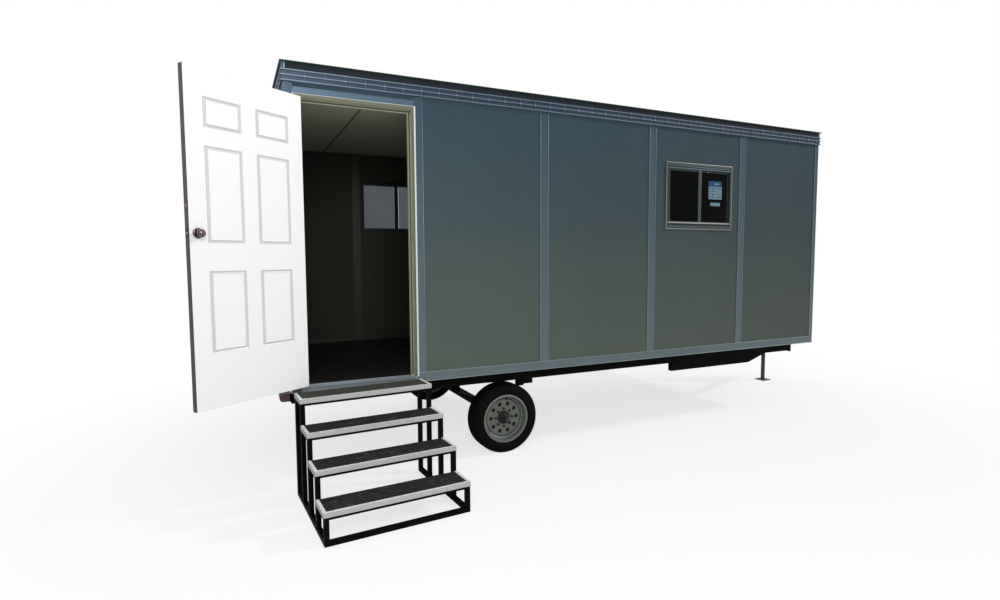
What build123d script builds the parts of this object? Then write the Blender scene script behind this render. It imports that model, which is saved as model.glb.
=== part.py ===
from build123d import *
import math
import os

os.makedirs("parts", exist_ok=True)

# Towable site cabin on a single axle. Millimetres, +Z up.
# While it is built, X runs from the door end to the tow end, Y runs from the
# door side into the cabin, and Z = 0 is the ground.

cut_margin = 20.0

# Cabin body
cabin_length = 5905.0
cabin_depth = 2440.0
chassis_top = 755.0
wall_height = 2335.0
panel_thickness = 58.0
strip_thickness = 3.0
strip_width = 88.0
web_thickness = 6.0
bottom_rail_height = 80.0
deck_thickness = 47.0

# Wall joints, from the door end
front_joint = 2200.0
back_joint = 985.0
joint_pitch = 1238.0
joint_count = 3
back_joint_count = 4
door_post_left = 986.0
door_post_web = 37.0
door_strip_width = 74.0

# Roof
roof_step = 73.0
roof_lip_height = 85.0
roof_joint_count = 5
roof_joint_first = 625.0
roof_joint_width = 12.0
roof_clearance = 2.0
edge_trim_rib_count = 3
edge_trim_plate = 7.0
edge_trim_rib = 8.0
edge_trim_rib_height = 9.0
cap_height = 58.0
cap_overhang = 5.0
cap_lip = 22.0
cap_lip_height = 6.0
cap_lip_band = 70.0

# Door frame and door leaf
frame_jamb = 20.0
frame_stop = 22.0
frame_stop_depth = 33.0
frame_front = 16.0
frame_bead = 9.0
frame_drop = 93.0
header_height = 57.0
sill_thickness = 6.0
sill_nose = 22.0
threshold_height = 9.0
leaf_thickness = 45.0
leaf_bottom = 68.0
door_gap = 6.0
door_open = 146.6
panel_recess = 5.0
panel_moulding = 22.0
stile_width = 118.0
mullion_width = 108.0
top_rail_width = 172.0
small_panel_height = 190.0
frieze_rail_width = 112.0
tall_panel_height = 610.0
lock_rail_width = 176.0
low_panel_height = 530.0

# Hinges and knob
hinge_count = 3
hinge_height = 100.0
hinge_end_offset = 190.0
knuckle_radius = 6.0
knuckle_gap = 0.4
pin_radius = 3.5
pin_clearance = 0.05
hinge_plate = 2.5
hinge_plate_depth = 34.0
knob_height = 1125.0
knob_backset = 54.0
knob_radius = 27.0
knob_projection = 62.0
rose_radius = 33.0
rose_thickness = 7.0
neck_radius = 11.0
spindle_radius = 8.0
spindle_clearance = 0.5

# Windows
window_offset = 175.0
back_window_offset = 51.0
window_bottom = 1318.0
window_width = 905.0
window_height = 676.0
window_flange = 8.0
window_flange_side = 27.0
window_flange_top = 40.0
window_sleeve = 4.0
window_sash = 20.0
window_sash_top = 34.0
window_sash_set = 4.0
window_sash_depth = 10.0
window_stile = 50.0
window_clearance = 1.0
glass_thickness = 5.0

# Chassis
rail_height = 100.0
rail_width = 50.0
rail_web = 6.0
rail_inset = 127.0
rail_end_inset = 210.0
end_plate = 12.0
end_plate_drop = 14.0
cross_member_count = 8
cross_member_width = 45.0
cross_member_first = 60.0
lapped_length = 1424.0
lapped_taper = 276.0
lapped_end_inset = 430.0
lapped_depth = 88.0
drawbar_lap = 1555.0
drawbar_reach = 995.0
drawbar_width = 60.0
drawbar_height = 85.0
coupler_length = 330.0
coupler_width = 84.0
ball_radius = 25.4
socket_seat = 0.6
socket_mouth = 0.92
jack_setback = 340.0
jack_tube_radius = 32.0
jack_tube_wall = 5.0
jack_tube_rise = 435.0
jack_tube_drop = 100.0
jack_plate = 12.0
jack_plate_length = 150.0
jack_leg_radius = 26.5
jack_leg_lap = 150.0
jack_leg_clearance = 0.3
jack_foot = 150.0
jack_foot_thickness = 10.0
crank_radius = 7.0
crank_drop = 40.0
crank_reach = 150.0
crank_offset = 38.0
crank_grip = 80.0

# Running gear
wheel_x = 1835.0
wheel_lip = 60.0
tyre_radius = 320.0
tyre_width = 185.0
tyre_tread_width = 142.0
bead_height = 4.0
bulge_start = 14.0
bulge_height = 40.0
bulge_drop = 6.0
shoulder_height = 30.0
shoulder_drop = 9.0
shoulder_round = 6.0
rim_radius = 220.5
rim_seat_radius = 203.0
rim_width = 172.0
rim_flange = 8.0
rim_wall = 7.0
rim_flare = 6.0
rim_disc_recess = 54.0
rim_disc = 8.0
bead_clearance = 0.3
centre_bore_radius = 62.0
hand_hole_count = 10
hand_hole_radius = 19.0
hand_hole_circle = 129.0
stud_count = 8
stud_circle = 82.5
stud_radius = 7.0
stud_clearance = 0.3
stud_root = 1.0
nut_radius = 11.0
nut_height = 16.0
hub_radius = 55.0
hub_flange_radius = 98.0
hub_flange = 12.0
hub_length = 118.0
drum_radius = 152.0
drum_length = 62.0
cap_radius = 34.0
cap_length = 46.0
cap_round = 8.0
spindle_axle_radius = 20.0
spindle_axle_clearance = 0.05
axle_size = 64.0
axle_hub_gap = 3.0
spring_inset = 430.0
spring_width = 50.0
spring_half_length = 340.0
spring_pack = 34.0
spring_pack_length = 374.0
spring_rise = 110.0
spring_leaf = 10.0
spring_block = 70.0
eye_radius = 16.0
hanger_plate = 10.0
hanger_length = 60.0
hanger_gap = 0.3
bump_length = 230.0
bump_width = 45.0
bump_drop = 32.0
bump_inset = 255.0
bracket_offset = 250.0
bracket_length = 120.0
bracket_height = 45.0

# Rear lamps
lamp_length = 85.0
lamp_width = 120.0
lamp_height = 62.0
lamp_drop = 18.0
lamp_round = 24.0

# Entry steps, free-standing, with their rear right corner at the doorway
steps_overlap = 27.0
steps_turn = 4.1
steps_gap = 0.3
steps_width = 1013.0
tread_count = 4
first_rise = 220.0
steps_drop = 20.0
going = 230.0
board_thickness = 18.0
nosing_sheet = 3.0
nosing_height = 33.0
nosing_width = 21.0
tread_drop = 1.5
tube = 32.0

# What follows from the sizes above
wall_thickness = panel_thickness + 2 * strip_thickness
wall_top = chassis_top + wall_height
ceiling = wall_top - roof_step
deck_top = chassis_top + deck_thickness
panel_bottom = deck_top + strip_thickness
rail_top = chassis_top + bottom_rail_height
mid_depth = cabin_depth / 2
mid_length = cabin_length / 2
roof_top = wall_top + roof_lip_height
cap_face = roof_top + cap_height - cap_lip_height
frame_left = wall_thickness
frame_right = door_post_left
frame_head = wall_top - frame_drop
sill_top = deck_top + sill_thickness
rail_bottom = chassis_top - rail_height
wheel_z = tyre_radius
window_left = front_joint + joint_pitch + window_offset
back_window_left = back_joint + back_window_offset
rail_end = cabin_length - rail_end_inset
lapped_end = rail_end - lapped_end_inset
lapped_start = lapped_end - lapped_length
drawbar_tip = cabin_length + drawbar_reach
drawbar_low = rail_bottom - drawbar_height
coupler_x0 = drawbar_tip - coupler_length / 2
coupler_x1 = coupler_x0 + coupler_length
jack_x = drawbar_tip - jack_setback
jack_top = rail_bottom + jack_tube_rise
jack_tube_bottom = drawbar_low - jack_tube_drop
steps_corner = door_post_left + steps_overlap
rise = (deck_top - steps_drop - first_rise) / (tread_count - 1)
tread_depth = going + nosing_sheet
far_plane = Plane(origin=(0, mid_depth, 0), z_dir=(0, 1, 0))
end_plane = Plane(origin=(mid_length, 0, 0), z_dir=(1, 0, 0))

nodes = {}


def add(name, *shapes):
    """Put the solids of these shapes into one named node."""
    for shape in shapes:
        nodes.setdefault(name, []).extend(shape.solids())


def block(x0, x1, y0, y1, z0, z1):
    """A plain block between two corners."""
    centre = Pos((x0 + x1) / 2, (y0 + y1) / 2, (z0 + z1) / 2)
    return centre * Box(x1 - x0, y1 - y0, z1 - z0)


def far_side(shape):
    """The same piece on the far long side."""
    return mirror(shape, about=far_plane)


def both_sides(shape):
    """The piece and its twin on the far long side."""
    return (shape, far_side(shape))


def rod(radius, start, end):
    """A round bar from one point to another."""
    run = Vector(*end) - Vector(*start)
    plane = Plane(origin=start, z_dir=run.normalized())
    return plane * Cylinder(radius, run.length, align=(Align.CENTER, Align.CENTER, Align.MIN))


def cabin_deck():
    """Floor deck, notched where the corner posts pass it."""
    low = strip_thickness
    deck = block(low, cabin_length - low, low, cabin_depth - low, chassis_top, deck_top)
    corner = block(0, wall_thickness, 0, wall_thickness, chassis_top, deck_top)
    for notch in (*both_sides(corner), *both_sides(mirror(corner, about=end_plane))):
        deck -= notch
    return deck


def bottom_rail(x0, x1):
    """Aluminium rail along a wall's foot: it caps the deck's edge and holds the panels."""
    outer = block(x0, x1, 0, strip_thickness, chassis_top, rail_top)
    seat = block(x0, x1, 0, wall_thickness, deck_top, panel_bottom)
    inner = block(x0, x1, wall_thickness - strip_thickness, wall_thickness, deck_top, rail_top)
    return outer + seat + inner


def joint_post(centre):
    """H-profile between two wall panels, with a strip on each face."""
    web_half = web_thickness / 2
    strip_half = strip_width / 2
    inner_face = strip_thickness + panel_thickness
    web = block(centre - web_half, centre + web_half, strip_thickness, inner_face, panel_bottom, wall_top)
    outer = block(centre - strip_half, centre + strip_half, 0, strip_thickness, rail_top, wall_top)
    inner = block(centre - strip_half, centre + strip_half, inner_face, wall_thickness, rail_top, ceiling)
    return web + outer + inner


def door_post():
    """Box post beside the doorway, with a slot for the first panel."""
    left = door_post_left
    web_end = left + door_post_web
    strip_end = left + door_strip_width
    inner_face = strip_thickness + panel_thickness
    core = block(left, web_end, strip_thickness, inner_face, panel_bottom, wall_top)
    outer = block(left, strip_end, 0, strip_thickness, rail_top, wall_top)
    inner = block(left, strip_end, inner_face, wall_thickness, rail_top, ceiling)
    return core + outer + inner


def panel(x0, x1, z0=panel_bottom):
    """One insulated wall panel of the front wall."""
    return block(x0, x1, strip_thickness, strip_thickness + panel_thickness, z0, wall_top)


def end_wall(shape):
    """Turn a front wall piece into the door end's wall: X becomes Y."""
    return mirror(Rot(0, 0, 90) * shape, about=Plane.YZ)


def window_place(left):
    """The window's outline as x0, x1, z0, z1."""
    low = chassis_top + window_bottom
    return left, left + window_width, low, low + window_height


def window_hole(left):
    """The opening that a window's sleeve passes through."""
    x0, x1, z0, z1 = window_place(left)
    side = window_flange_side - window_clearance
    top = window_flange_top - window_clearance
    return block(x0 + side, x1 - side, -cut_margin, wall_thickness + cut_margin, z0 + top, z1 - top)


def window_frame(left):
    """Slider window frame: flange on the face, sleeve through the wall, sash rails."""
    x0, x1, z0, z1 = window_place(left)
    side = window_flange_side
    top = window_flange_top
    face = strip_thickness
    flange = block(x0, x1, face - window_flange, face, z0, z1)
    sleeve = block(x0 + side, x1 - side, face - window_flange, wall_thickness, z0 + top, z1 - top)
    inner = block(
        x0 + side + window_sleeve, x1 - side - window_sleeve,
        face - window_flange, wall_thickness,
        z0 + top + window_sleeve, z1 - top - window_sleeve,
    )
    frame = flange + sleeve - inner
    sash_low = face - window_flange + window_sash_set
    sash = block(
        x0 + side + window_sleeve, x1 - side - window_sleeve,
        sash_low, sash_low + 2 * window_sash_depth,
        z0 + top + window_sleeve, z1 - top - window_sleeve,
    )
    for x_low, x_high in window_panes(left):
        sash -= block(x_low, x_high, 0, wall_thickness, *pane_height(left))
    return frame + sash


def window_panes(left):
    """The two glass openings' left and right edges."""
    x0, x1, _, _ = window_place(left)
    low = x0 + window_flange_side + window_sleeve + window_sash
    high = x1 - window_flange_side - window_sleeve - window_sash
    middle = (low + high) / 2
    return (low, middle - window_stile / 2), (middle + window_stile / 2, high)


def pane_height(left):
    """The glass openings' lower and upper edges."""
    _, _, z0, z1 = window_place(left)
    step = window_flange_top + window_sleeve + window_sash_top
    return z0 + step, z1 - step


def window_glass(left):
    """Two panes, each seated in its own sash opening."""
    panes = []
    z_low, z_high = pane_height(left)
    sash_low = strip_thickness - window_flange + window_sash_set
    for number, (x_low, x_high) in enumerate(window_panes(left)):
        y_mid = sash_low + window_sash_depth * (0.5 + number)
        y_low = y_mid - glass_thickness / 2
        panes.append(block(x_low, x_high, y_low, y_low + glass_thickness, z_low, z_high))
    return panes


def build_walls():
    """Deck, rails, posts and panels."""
    add("floor_deck", cabin_deck())
    inside = cabin_length - wall_thickness
    depth_inside = cabin_depth - wall_thickness
    front_rail = bottom_rail(door_post_left, inside)
    back_rail = far_side(bottom_rail(wall_thickness, inside))
    left_rail = end_wall(bottom_rail(wall_thickness, depth_inside))
    add("bottom_rails", front_rail, back_rail, left_rail, mirror(left_rail, about=end_plane))
    corner = block(0, wall_thickness, 0, wall_thickness, chassis_top, wall_top)
    add("corner_posts", *both_sides(corner), *both_sides(mirror(corner, about=end_plane)))

    web = web_thickness / 2
    joints = [front_joint + joint_pitch * i for i in range(joint_count)]
    add("wall_posts", door_post(), *[joint_post(x) for x in joints])
    edges = [door_post_left + door_post_web - web, *joints, inside + web]
    for low, high in zip(edges, edges[1:]):
        piece = panel(low + web, high - web)
        if low < window_left < high:
            add("front_window_panel", piece - window_hole(window_left))
        else:
            add("front_panels", piece)

    back_joints = [back_joint + joint_pitch * i for i in range(back_joint_count)]
    add("wall_posts", *[far_side(joint_post(x)) for x in back_joints])
    edges = [wall_thickness - web, *back_joints, inside + web]
    for low, high in zip(edges, edges[1:]):
        piece = panel(low + web, high - web)
        if low < back_window_left < high:
            add("back_window_panel", far_side(piece - window_hole(back_window_left)))
        else:
            add("back_panels", far_side(piece))

    end_post = end_wall(joint_post(mid_depth))
    add("wall_posts", end_post, mirror(end_post, about=end_plane))
    for low, high in ((wall_thickness, mid_depth - web), (mid_depth + web, depth_inside)):
        piece = end_wall(panel(low, high))
        add("end_panels", piece, mirror(piece, about=end_plane))


def build_roof():
    """Stepped roof panels on the walls, ladder trim round their edge, dark cap on top."""
    inset = wall_thickness + roof_clearance
    half_gap = roof_joint_width / 2
    pitch = (cabin_length - 2 * roof_joint_first) / (roof_joint_count - 1)
    joints = [roof_joint_first + pitch * i for i in range(roof_joint_count)]
    lows = [0, *[x + half_gap for x in joints]]
    highs = [*[x - half_gap for x in joints], cabin_length]
    for low, high in zip(lows, highs):
        upper = block(low, high, 0, cabin_depth, wall_top, roof_top)
        x_low = max(low, inset)
        x_high = min(high, cabin_length - inset)
        lower = block(x_low, x_high, inset, cabin_depth - inset, ceiling, wall_top)
        add("roof_panels", upper + lower)
    for x in joints:
        upper = block(x - half_gap, x + half_gap, 0, cabin_depth, wall_top, roof_top)
        lower = block(x - half_gap, x + half_gap, inset, cabin_depth - inset, ceiling, wall_top)
        add("roof_joints", upper + lower)

    def ring(reach, z0, z1):
        outer = block(-reach, cabin_length + reach, -reach, cabin_depth + reach, z0, z1)
        return outer - block(0, cabin_length, 0, cabin_depth, z0, z1)

    trim = ring(edge_trim_plate, wall_top, roof_top)
    rib_step = (roof_lip_height - edge_trim_rib_height) / (edge_trim_rib_count - 1)
    for number in range(edge_trim_rib_count):
        low = wall_top + number * rib_step
        trim += ring(edge_trim_plate + edge_trim_rib, low, low + edge_trim_rib_height)
    add("roof_edge_trim", trim)

    cap = block(
        -cap_overhang, cabin_length + cap_overhang,
        -cap_overhang, cabin_depth + cap_overhang,
        roof_top, cap_face,
    )
    lip = block(
        -cap_lip, cabin_length + cap_lip,
        -cap_lip, cabin_depth + cap_lip,
        cap_face, cap_face + cap_lip_height,
    )
    inner = cap_lip_band - cap_lip
    lip -= block(
        inner, cabin_length - inner,
        inner, cabin_depth - inner,
        cap_face, cap_face + cap_lip_height,
    )
    add("roof_cap", cap + lip)


def jamb():
    """Left jamb of the door frame: body, stop and the bead on the wall's face."""
    low = sill_top
    back = wall_thickness
    body = block(frame_left, frame_left + frame_jamb, -frame_front, back, low, frame_head)
    stop_left = frame_left + frame_jamb
    stop_top = frame_head - frame_jamb - frame_stop
    stop = block(stop_left, stop_left + frame_stop, back - frame_stop_depth, back, low, stop_top)
    bead = block(frame_left - frame_bead, frame_left, -frame_front, 0, low, frame_head + frame_bead)
    return body + stop + bead


def build_doorway():
    """Door frame, header, panel over it and the sill."""
    left = jamb()
    middle = (frame_left + frame_right) / 2
    right = mirror(left, about=Plane(origin=(middle, 0, 0), z_dir=(1, 0, 0)))
    back = wall_thickness
    head_low = frame_head - frame_jamb
    head = block(frame_left, frame_right, -frame_front, back, head_low, frame_head)
    head += block(
        frame_left + frame_jamb, frame_right - frame_jamb,
        back - frame_stop_depth, back,
        head_low - frame_stop, head_low,
    )
    head += block(frame_left, frame_right, -frame_front, 0, frame_head, frame_head + frame_bead)
    add("door_frame", left + right + head)
    header_top = frame_head + header_height
    add("door_header", block(frame_left, frame_right, 0, back, frame_head, header_top))
    add("door_head_panel", panel(frame_left, frame_right, header_top))
    apron = block(frame_left, frame_right, 0, strip_thickness, chassis_top, sill_top)
    plate = block(frame_left, frame_right, -sill_nose, back, deck_top, sill_top)
    stop_low = back - frame_stop_depth
    bar = block(
        frame_left + frame_jamb + frame_stop, frame_right - frame_jamb - frame_stop,
        stop_low, back,
        sill_top, sill_top + threshold_height,
    )
    add("door_sill", apron + plate + bar)


# The door leaf is built shut and then swung about its pins.
leaf_x0 = frame_left + frame_jamb + door_gap
leaf_x1 = frame_right - frame_jamb - door_gap
leaf_z0 = chassis_top + leaf_bottom
leaf_z1 = frame_head - frame_jamb - door_gap
leaf_front = -frame_front
leaf_back = leaf_front + leaf_thickness
pin_x = leaf_x0 - door_gap / 2
pin_y = leaf_front - knuckle_radius


def swing(shape, angle=door_open):
    """Swing a piece of the shut door outwards about the hinge pins."""
    pin = Pos(pin_x, pin_y, 0)
    return pin * Rot(0, 0, -angle) * pin.inverse() * shape


def leaf_fields():
    """The six moulded fields as x0, x1, z0, z1."""
    width = (leaf_x1 - leaf_x0 - 2 * stile_width - mullion_width) / 2
    left = leaf_x0 + stile_width
    right = leaf_x1 - stile_width - width
    top = leaf_z1 - top_rail_width
    rows = []
    for height, below in (
        (small_panel_height, frieze_rail_width),
        (tall_panel_height, lock_rail_width),
        (low_panel_height, 0),
    ):
        rows.append((top - height, top))
        top -= height + below
    return [(x, x + width, z0, z1) for z0, z1 in rows for x in (left, right)]


def field_groove(x0, x1, z0, z1, face, inward):
    """A moulded groove round one field, sloping down and up again."""
    plane = Plane(origin=((x0 + x1) / 2, face, (z0 + z1) / 2), x_dir=(1, 0, 0), z_dir=(0, inward, 0))
    width = x1 - x0
    height = z1 - z0
    step = panel_moulding / 2
    outer = loft([
        plane * Rectangle(width, height),
        plane.offset(panel_recess) * Rectangle(width - 2 * step, height - 2 * step),
    ])
    island = loft([
        plane * Rectangle(width - 4 * step, height - 4 * step),
        plane.offset(panel_recess) * Rectangle(width - 2 * step, height - 2 * step),
    ])
    return outer - island


def build_door():
    """Six-panel leaf, butt hinges and the knob set."""
    leaf = block(leaf_x0, leaf_x1, leaf_front, leaf_back, leaf_z0, leaf_z1)
    for field in leaf_fields():
        leaf -= field_groove(*field, leaf_front, 1)
        leaf -= field_groove(*field, leaf_back, -1)
    knob_x = leaf_x1 - knob_backset
    knob_z = leaf_z0 + knob_height
    bore = rod(
        spindle_radius + spindle_clearance,
        (knob_x, leaf_front - cut_margin, knob_z), (knob_x, leaf_back + cut_margin, knob_z),
    )
    leaf -= bore

    span = leaf_z1 - leaf_z0 - 2 * hinge_end_offset
    frame_plates = []
    door_plates = []
    third = hinge_height / 3
    for number in range(hinge_count):
        middle = leaf_z0 + hinge_end_offset + span * number / (hinge_count - 1)
        low = middle - hinge_height / 2
        high = middle + hinge_height / 2
        plate_back = leaf_front + hinge_plate_depth
        jamb_face = frame_left + frame_jamb
        plate = block(jamb_face, jamb_face + hinge_plate, pin_y, plate_back, low, high)
        knuckles = rod(knuckle_radius, (pin_x, pin_y, low), (pin_x, pin_y, high))
        middle_gap = block(
            pin_x - cut_margin, pin_x + cut_margin, pin_y - cut_margin, plate_back + cut_margin,
            low + third - knuckle_gap, high - third + knuckle_gap,
        )
        pin = rod(pin_radius, (pin_x, pin_y, low), (pin_x, pin_y, high))
        outside = block(
            pin_x - cut_margin, pin_x + cut_margin,
            leaf_front, plate_back + cut_margin,
            low, high,
        )
        frame_plates.append((plate + knuckles) - (middle_gap - outside) + pin)
        door_plate = block(leaf_x0 - hinge_plate, leaf_x0, pin_y, plate_back, low, high)
        barrel = rod(knuckle_radius, (pin_x, pin_y, low + third), (pin_x, pin_y, high - third))
        for z0, z1 in ((low - cut_margin, low + third), (high - third, high + cut_margin)):
            door_plate -= block(
                leaf_x0 - cut_margin, leaf_x0 + cut_margin,
                pin_y - cut_margin, leaf_front,
                z0, z1,
            )
        hole = rod(pin_radius + pin_clearance, (pin_x, pin_y, low), (pin_x, pin_y, high))
        door_plates.append(door_plate + barrel - hole)
    add("hinge_frame_plates", *frame_plates)
    add("door_leaf", swing(leaf))
    add("hinge_door_plates", *[swing(plate) for plate in door_plates])

    knobs = rod(spindle_radius, (knob_x, leaf_front, knob_z), (knob_x, leaf_back, knob_z))
    for face, out in ((leaf_front, -1), (leaf_back, 1)):
        rose_face = face + out * rose_thickness
        neck_end = face + out * (knob_projection - knob_radius)
        knobs += rod(rose_radius, (knob_x, face, knob_z), (knob_x, rose_face, knob_z))
        knobs += rod(neck_radius, (knob_x, face, knob_z), (knob_x, neck_end, knob_z))
        knobs += Pos(knob_x, neck_end, knob_z) * Sphere(knob_radius)
    add("door_knobs", swing(knobs))


def build_windows():
    """Both slider windows, one in each long wall."""
    add("window_frames", window_frame(window_left), far_side(window_frame(back_window_left)))
    add("window_glass", *window_glass(window_left))
    add("window_glass", *[far_side(pane) for pane in window_glass(back_window_left)])


def channel(x0, x1, outer_y, z0, z1, width):
    """A C-channel along X, open towards the cabin's middle."""
    beam = block(x0, x1, outer_y, outer_y + width, z0, z1)
    return beam - block(x0, x1, outer_y + rail_web, outer_y + width, z0 + rail_web, z1 - rail_web)


def cross_members():
    """The bars between the side rails, evenly spaced."""
    member_y0 = rail_inset + rail_width
    last = rail_end - cross_member_width - cross_member_first
    members = []
    for number in range(cross_member_count):
        x = cross_member_first + (last - cross_member_first) * number / (cross_member_count - 1)
        members.append(block(
            x, x + cross_member_width,
            member_y0, cabin_depth - member_y0,
            rail_bottom, chassis_top,
        ))
    return members


def build_chassis():
    """Side rails, cross members, lapped beams, drawbar, coupler and jack."""
    rail = channel(0, rail_end, rail_inset, rail_bottom, chassis_top, rail_width)
    rail += block(
        rail_end, rail_end + end_plate,
        rail_inset, rail_inset + rail_width,
        rail_bottom - end_plate_drop, chassis_top,
    )
    add("side_rails", *both_sides(rail))

    add("cross_members", *cross_members())

    lapped_low = rail_bottom - lapped_depth
    outline = Polyline(
        (lapped_start, rail_bottom),
        (lapped_start, lapped_low),
        (lapped_end - lapped_taper, lapped_low),
        (lapped_end, rail_bottom),
        close=True,
    )
    side = Plane(origin=(0, rail_inset, 0), x_dir=(1, 0, 0), z_dir=(0, -1, 0)) * make_face(outline)
    add("lapped_beams", *both_sides(extrude(side, -rail_width)))

    drawbar_top = rail_bottom
    drawbar_start = cabin_length - drawbar_lap
    arm_start_y = rail_inset + rail_width + drawbar_width / 2
    arm_end_y = mid_depth - coupler_width / 2 - drawbar_width / 2
    run = Vector(drawbar_tip - drawbar_start, arm_end_y - arm_start_y)
    turn = math.degrees(math.atan2(run.Y, run.X))
    arm = Pos(drawbar_start, arm_start_y, drawbar_low) * Rot(0, 0, turn) * Box(
        run.length + drawbar_width, drawbar_width, drawbar_height,
        align=(Align.MIN, Align.CENTER, Align.MIN),
    )
    clear_y = mid_depth - coupler_width / 2
    inner_side = rail_inset + rail_width
    before = drawbar_start - cut_margin
    arm -= block(before, drawbar_tip + coupler_length, clear_y, cabin_depth, 0, chassis_top)
    arm -= block(before, lapped_end, 0, inner_side, 0, chassis_top)
    add("drawbar_arms", *both_sides(arm))

    coupler = block(
        coupler_x0, coupler_x1,
        mid_depth - coupler_width / 2, mid_depth + coupler_width / 2,
        drawbar_low, drawbar_top,
    )
    head = rod(
        coupler_width / 2,
        (coupler_x1, mid_depth, drawbar_low), (coupler_x1, mid_depth, drawbar_top),
    )
    ball_z = drawbar_low + ball_radius * socket_seat
    socket = Pos(coupler_x1, mid_depth, ball_z) * Sphere(ball_radius)
    mouth = rod(
        ball_radius * socket_mouth,
        (coupler_x1, mid_depth, drawbar_low - cut_margin), (coupler_x1, mid_depth, ball_z),
    )
    add("coupler", coupler + head - socket - mouth)

    plate_half = jack_plate_length / 2
    reach = jack_plate_length
    plate = block(
        jack_x - plate_half, jack_x + plate_half,
        mid_depth - reach, mid_depth + reach,
        drawbar_top, drawbar_top + jack_plate,
    )
    tube_outer = rod(
        jack_tube_radius,
        (jack_x, mid_depth, jack_tube_bottom), (jack_x, mid_depth, jack_top),
    )
    inner_radius = jack_leg_radius + jack_leg_clearance
    tube_inner = rod(
        inner_radius,
        (jack_x, mid_depth, jack_tube_bottom - cut_margin),
        (jack_x, mid_depth, jack_top - jack_tube_wall),
    )
    crank_z = jack_top - crank_drop
    crank_x = jack_x + jack_tube_radius + crank_offset
    elbows = [
        (jack_x + jack_tube_radius - jack_tube_wall / 2, mid_depth, crank_z),
        (crank_x, mid_depth, crank_z),
        (crank_x, mid_depth + crank_reach, crank_z),
        (crank_x + crank_grip, mid_depth + crank_reach, crank_z),
    ]
    crank = rod(crank_radius, elbows[0], elbows[1])
    for start, end in zip(elbows[1:], elbows[2:]):
        crank += Pos(*start) * Sphere(crank_radius)
        crank += rod(crank_radius, start, end)
    add("jack_tube", plate + tube_outer - tube_inner + crank)
    foot = block(
        jack_x - jack_foot / 2, jack_x + jack_foot / 2,
        mid_depth - jack_foot / 2, mid_depth + jack_foot / 2,
        0, jack_foot_thickness,
    )
    leg = rod(jack_leg_radius, (jack_x, mid_depth, 0), (jack_x, mid_depth, jack_top - jack_leg_lap))
    add("jack_leg", foot + leg)


def turned(points):
    """Revolve an outline of (radius, distance inboard of the rim lip) points about the hub line."""
    flat = [(radius, -inboard) for radius, inboard in points]
    section = Plane.XZ * make_face(Polyline(*flat, close=True))
    return revolve(section, axis=Axis.Z)


def ring_of(shape, count, radius, start=0.0):
    """Copies of a piece round the hub line."""
    step = 360 / count
    return [Rot(0, 0, start + step * i) * Pos(radius, 0, 0) * shape for i in range(count)]


def place_wheel(shape):
    """Stand a turned piece up at the near wheel, lip outwards."""
    return Pos(wheel_x, wheel_lip, wheel_z) * Rot(90, 0, 0) * shape


def build_wheels():
    """Tyre, rim and hub on each side."""
    mid = rim_width / 2
    seat = rim_seat_radius + bead_clearance
    bead_half = mid - rim_flange - bead_clearance
    half = tyre_width / 2
    tread_half = tyre_tread_width / 2
    side = [
        (seat, bead_half),
        (rim_radius + bead_height, bead_half),
        (rim_radius + bulge_start, half - bulge_drop),
        (rim_radius + bulge_height, half),
        (tyre_radius - shoulder_height, half - bulge_drop),
        (tyre_radius - shoulder_drop, tread_half + shoulder_round),
        (tyre_radius, tread_half - shoulder_round),
    ]
    outline = [(r, mid - w) for r, w in side] + [(r, mid + w) for r, w in reversed(side)]
    tyre = turned(outline)

    inner = rim_seat_radius - rim_wall
    disc_back = rim_disc_recess + rim_disc
    rim = turned([
        (rim_radius, 0), (rim_radius, rim_flange), (rim_seat_radius, rim_flange),
        (rim_seat_radius, rim_width - rim_flange), (rim_radius, rim_width - rim_flange),
        (rim_radius, rim_width), (inner, rim_width),
        (inner, disc_back), (centre_bore_radius, disc_back),
        (centre_bore_radius, rim_disc_recess), (inner - 2 * rim_flare, rim_disc_recess),
        (inner - rim_flare, rim_disc_recess - rim_disc), (inner, 2 * rim_flare), (inner + rim_flare, 0),
    ])
    hole = Pos(0, 0, -disc_back) * Cylinder(hand_hole_radius, 3 * rim_disc)
    for cut in ring_of(hole, hand_hole_count, hand_hole_circle):
        rim -= cut
    stud_hole = Pos(0, 0, -disc_back) * Cylinder(stud_radius + stud_clearance, 3 * rim_disc)
    for cut in ring_of(stud_hole, stud_count, stud_circle):
        rim -= cut

    hub_end = disc_back + hub_length
    drum_end = disc_back + hub_flange + drum_length
    bore = spindle_axle_radius + spindle_axle_clearance
    nose = rim_disc_recess - cap_length
    hub = turned([
        (0, nose), (cap_radius - cap_round, nose), (cap_radius, nose + cap_round),
        (cap_radius, rim_disc_recess - 2 * cap_round), (hub_radius, rim_disc_recess - cap_round),
        (hub_radius, disc_back), (hub_flange_radius, disc_back),
        (hub_flange_radius, disc_back + hub_flange), (drum_radius, disc_back + hub_flange),
        (drum_radius, drum_end), (hub_radius, drum_end),
        (hub_radius, hub_end), (bore, hub_end), (bore, disc_back), (0, disc_back),
    ])
    stud = Pos(0, 0, -disc_back - stud_root) * Cylinder(
        stud_radius, disc_back - rim_disc_recess + nut_height,
        align=(Align.CENTER, Align.CENTER, Align.MIN),
    )
    nut = Pos(0, 0, -rim_disc_recess) * extrude(RegularPolygon(nut_radius, 6), nut_height)
    for piece in ring_of(stud + nut, stud_count, stud_circle):
        hub += piece
    for name, shape in (("tyre", tyre), ("rim", rim), ("hub", hub)):
        near = place_wheel(shape)
        add(name + "_near", near)
        add(name + "_far", far_side(near))


def clear_of_members(shape):
    """The piece, notched where a cross member runs through it."""
    for member in cross_members():
        shape -= member
    return shape


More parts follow.
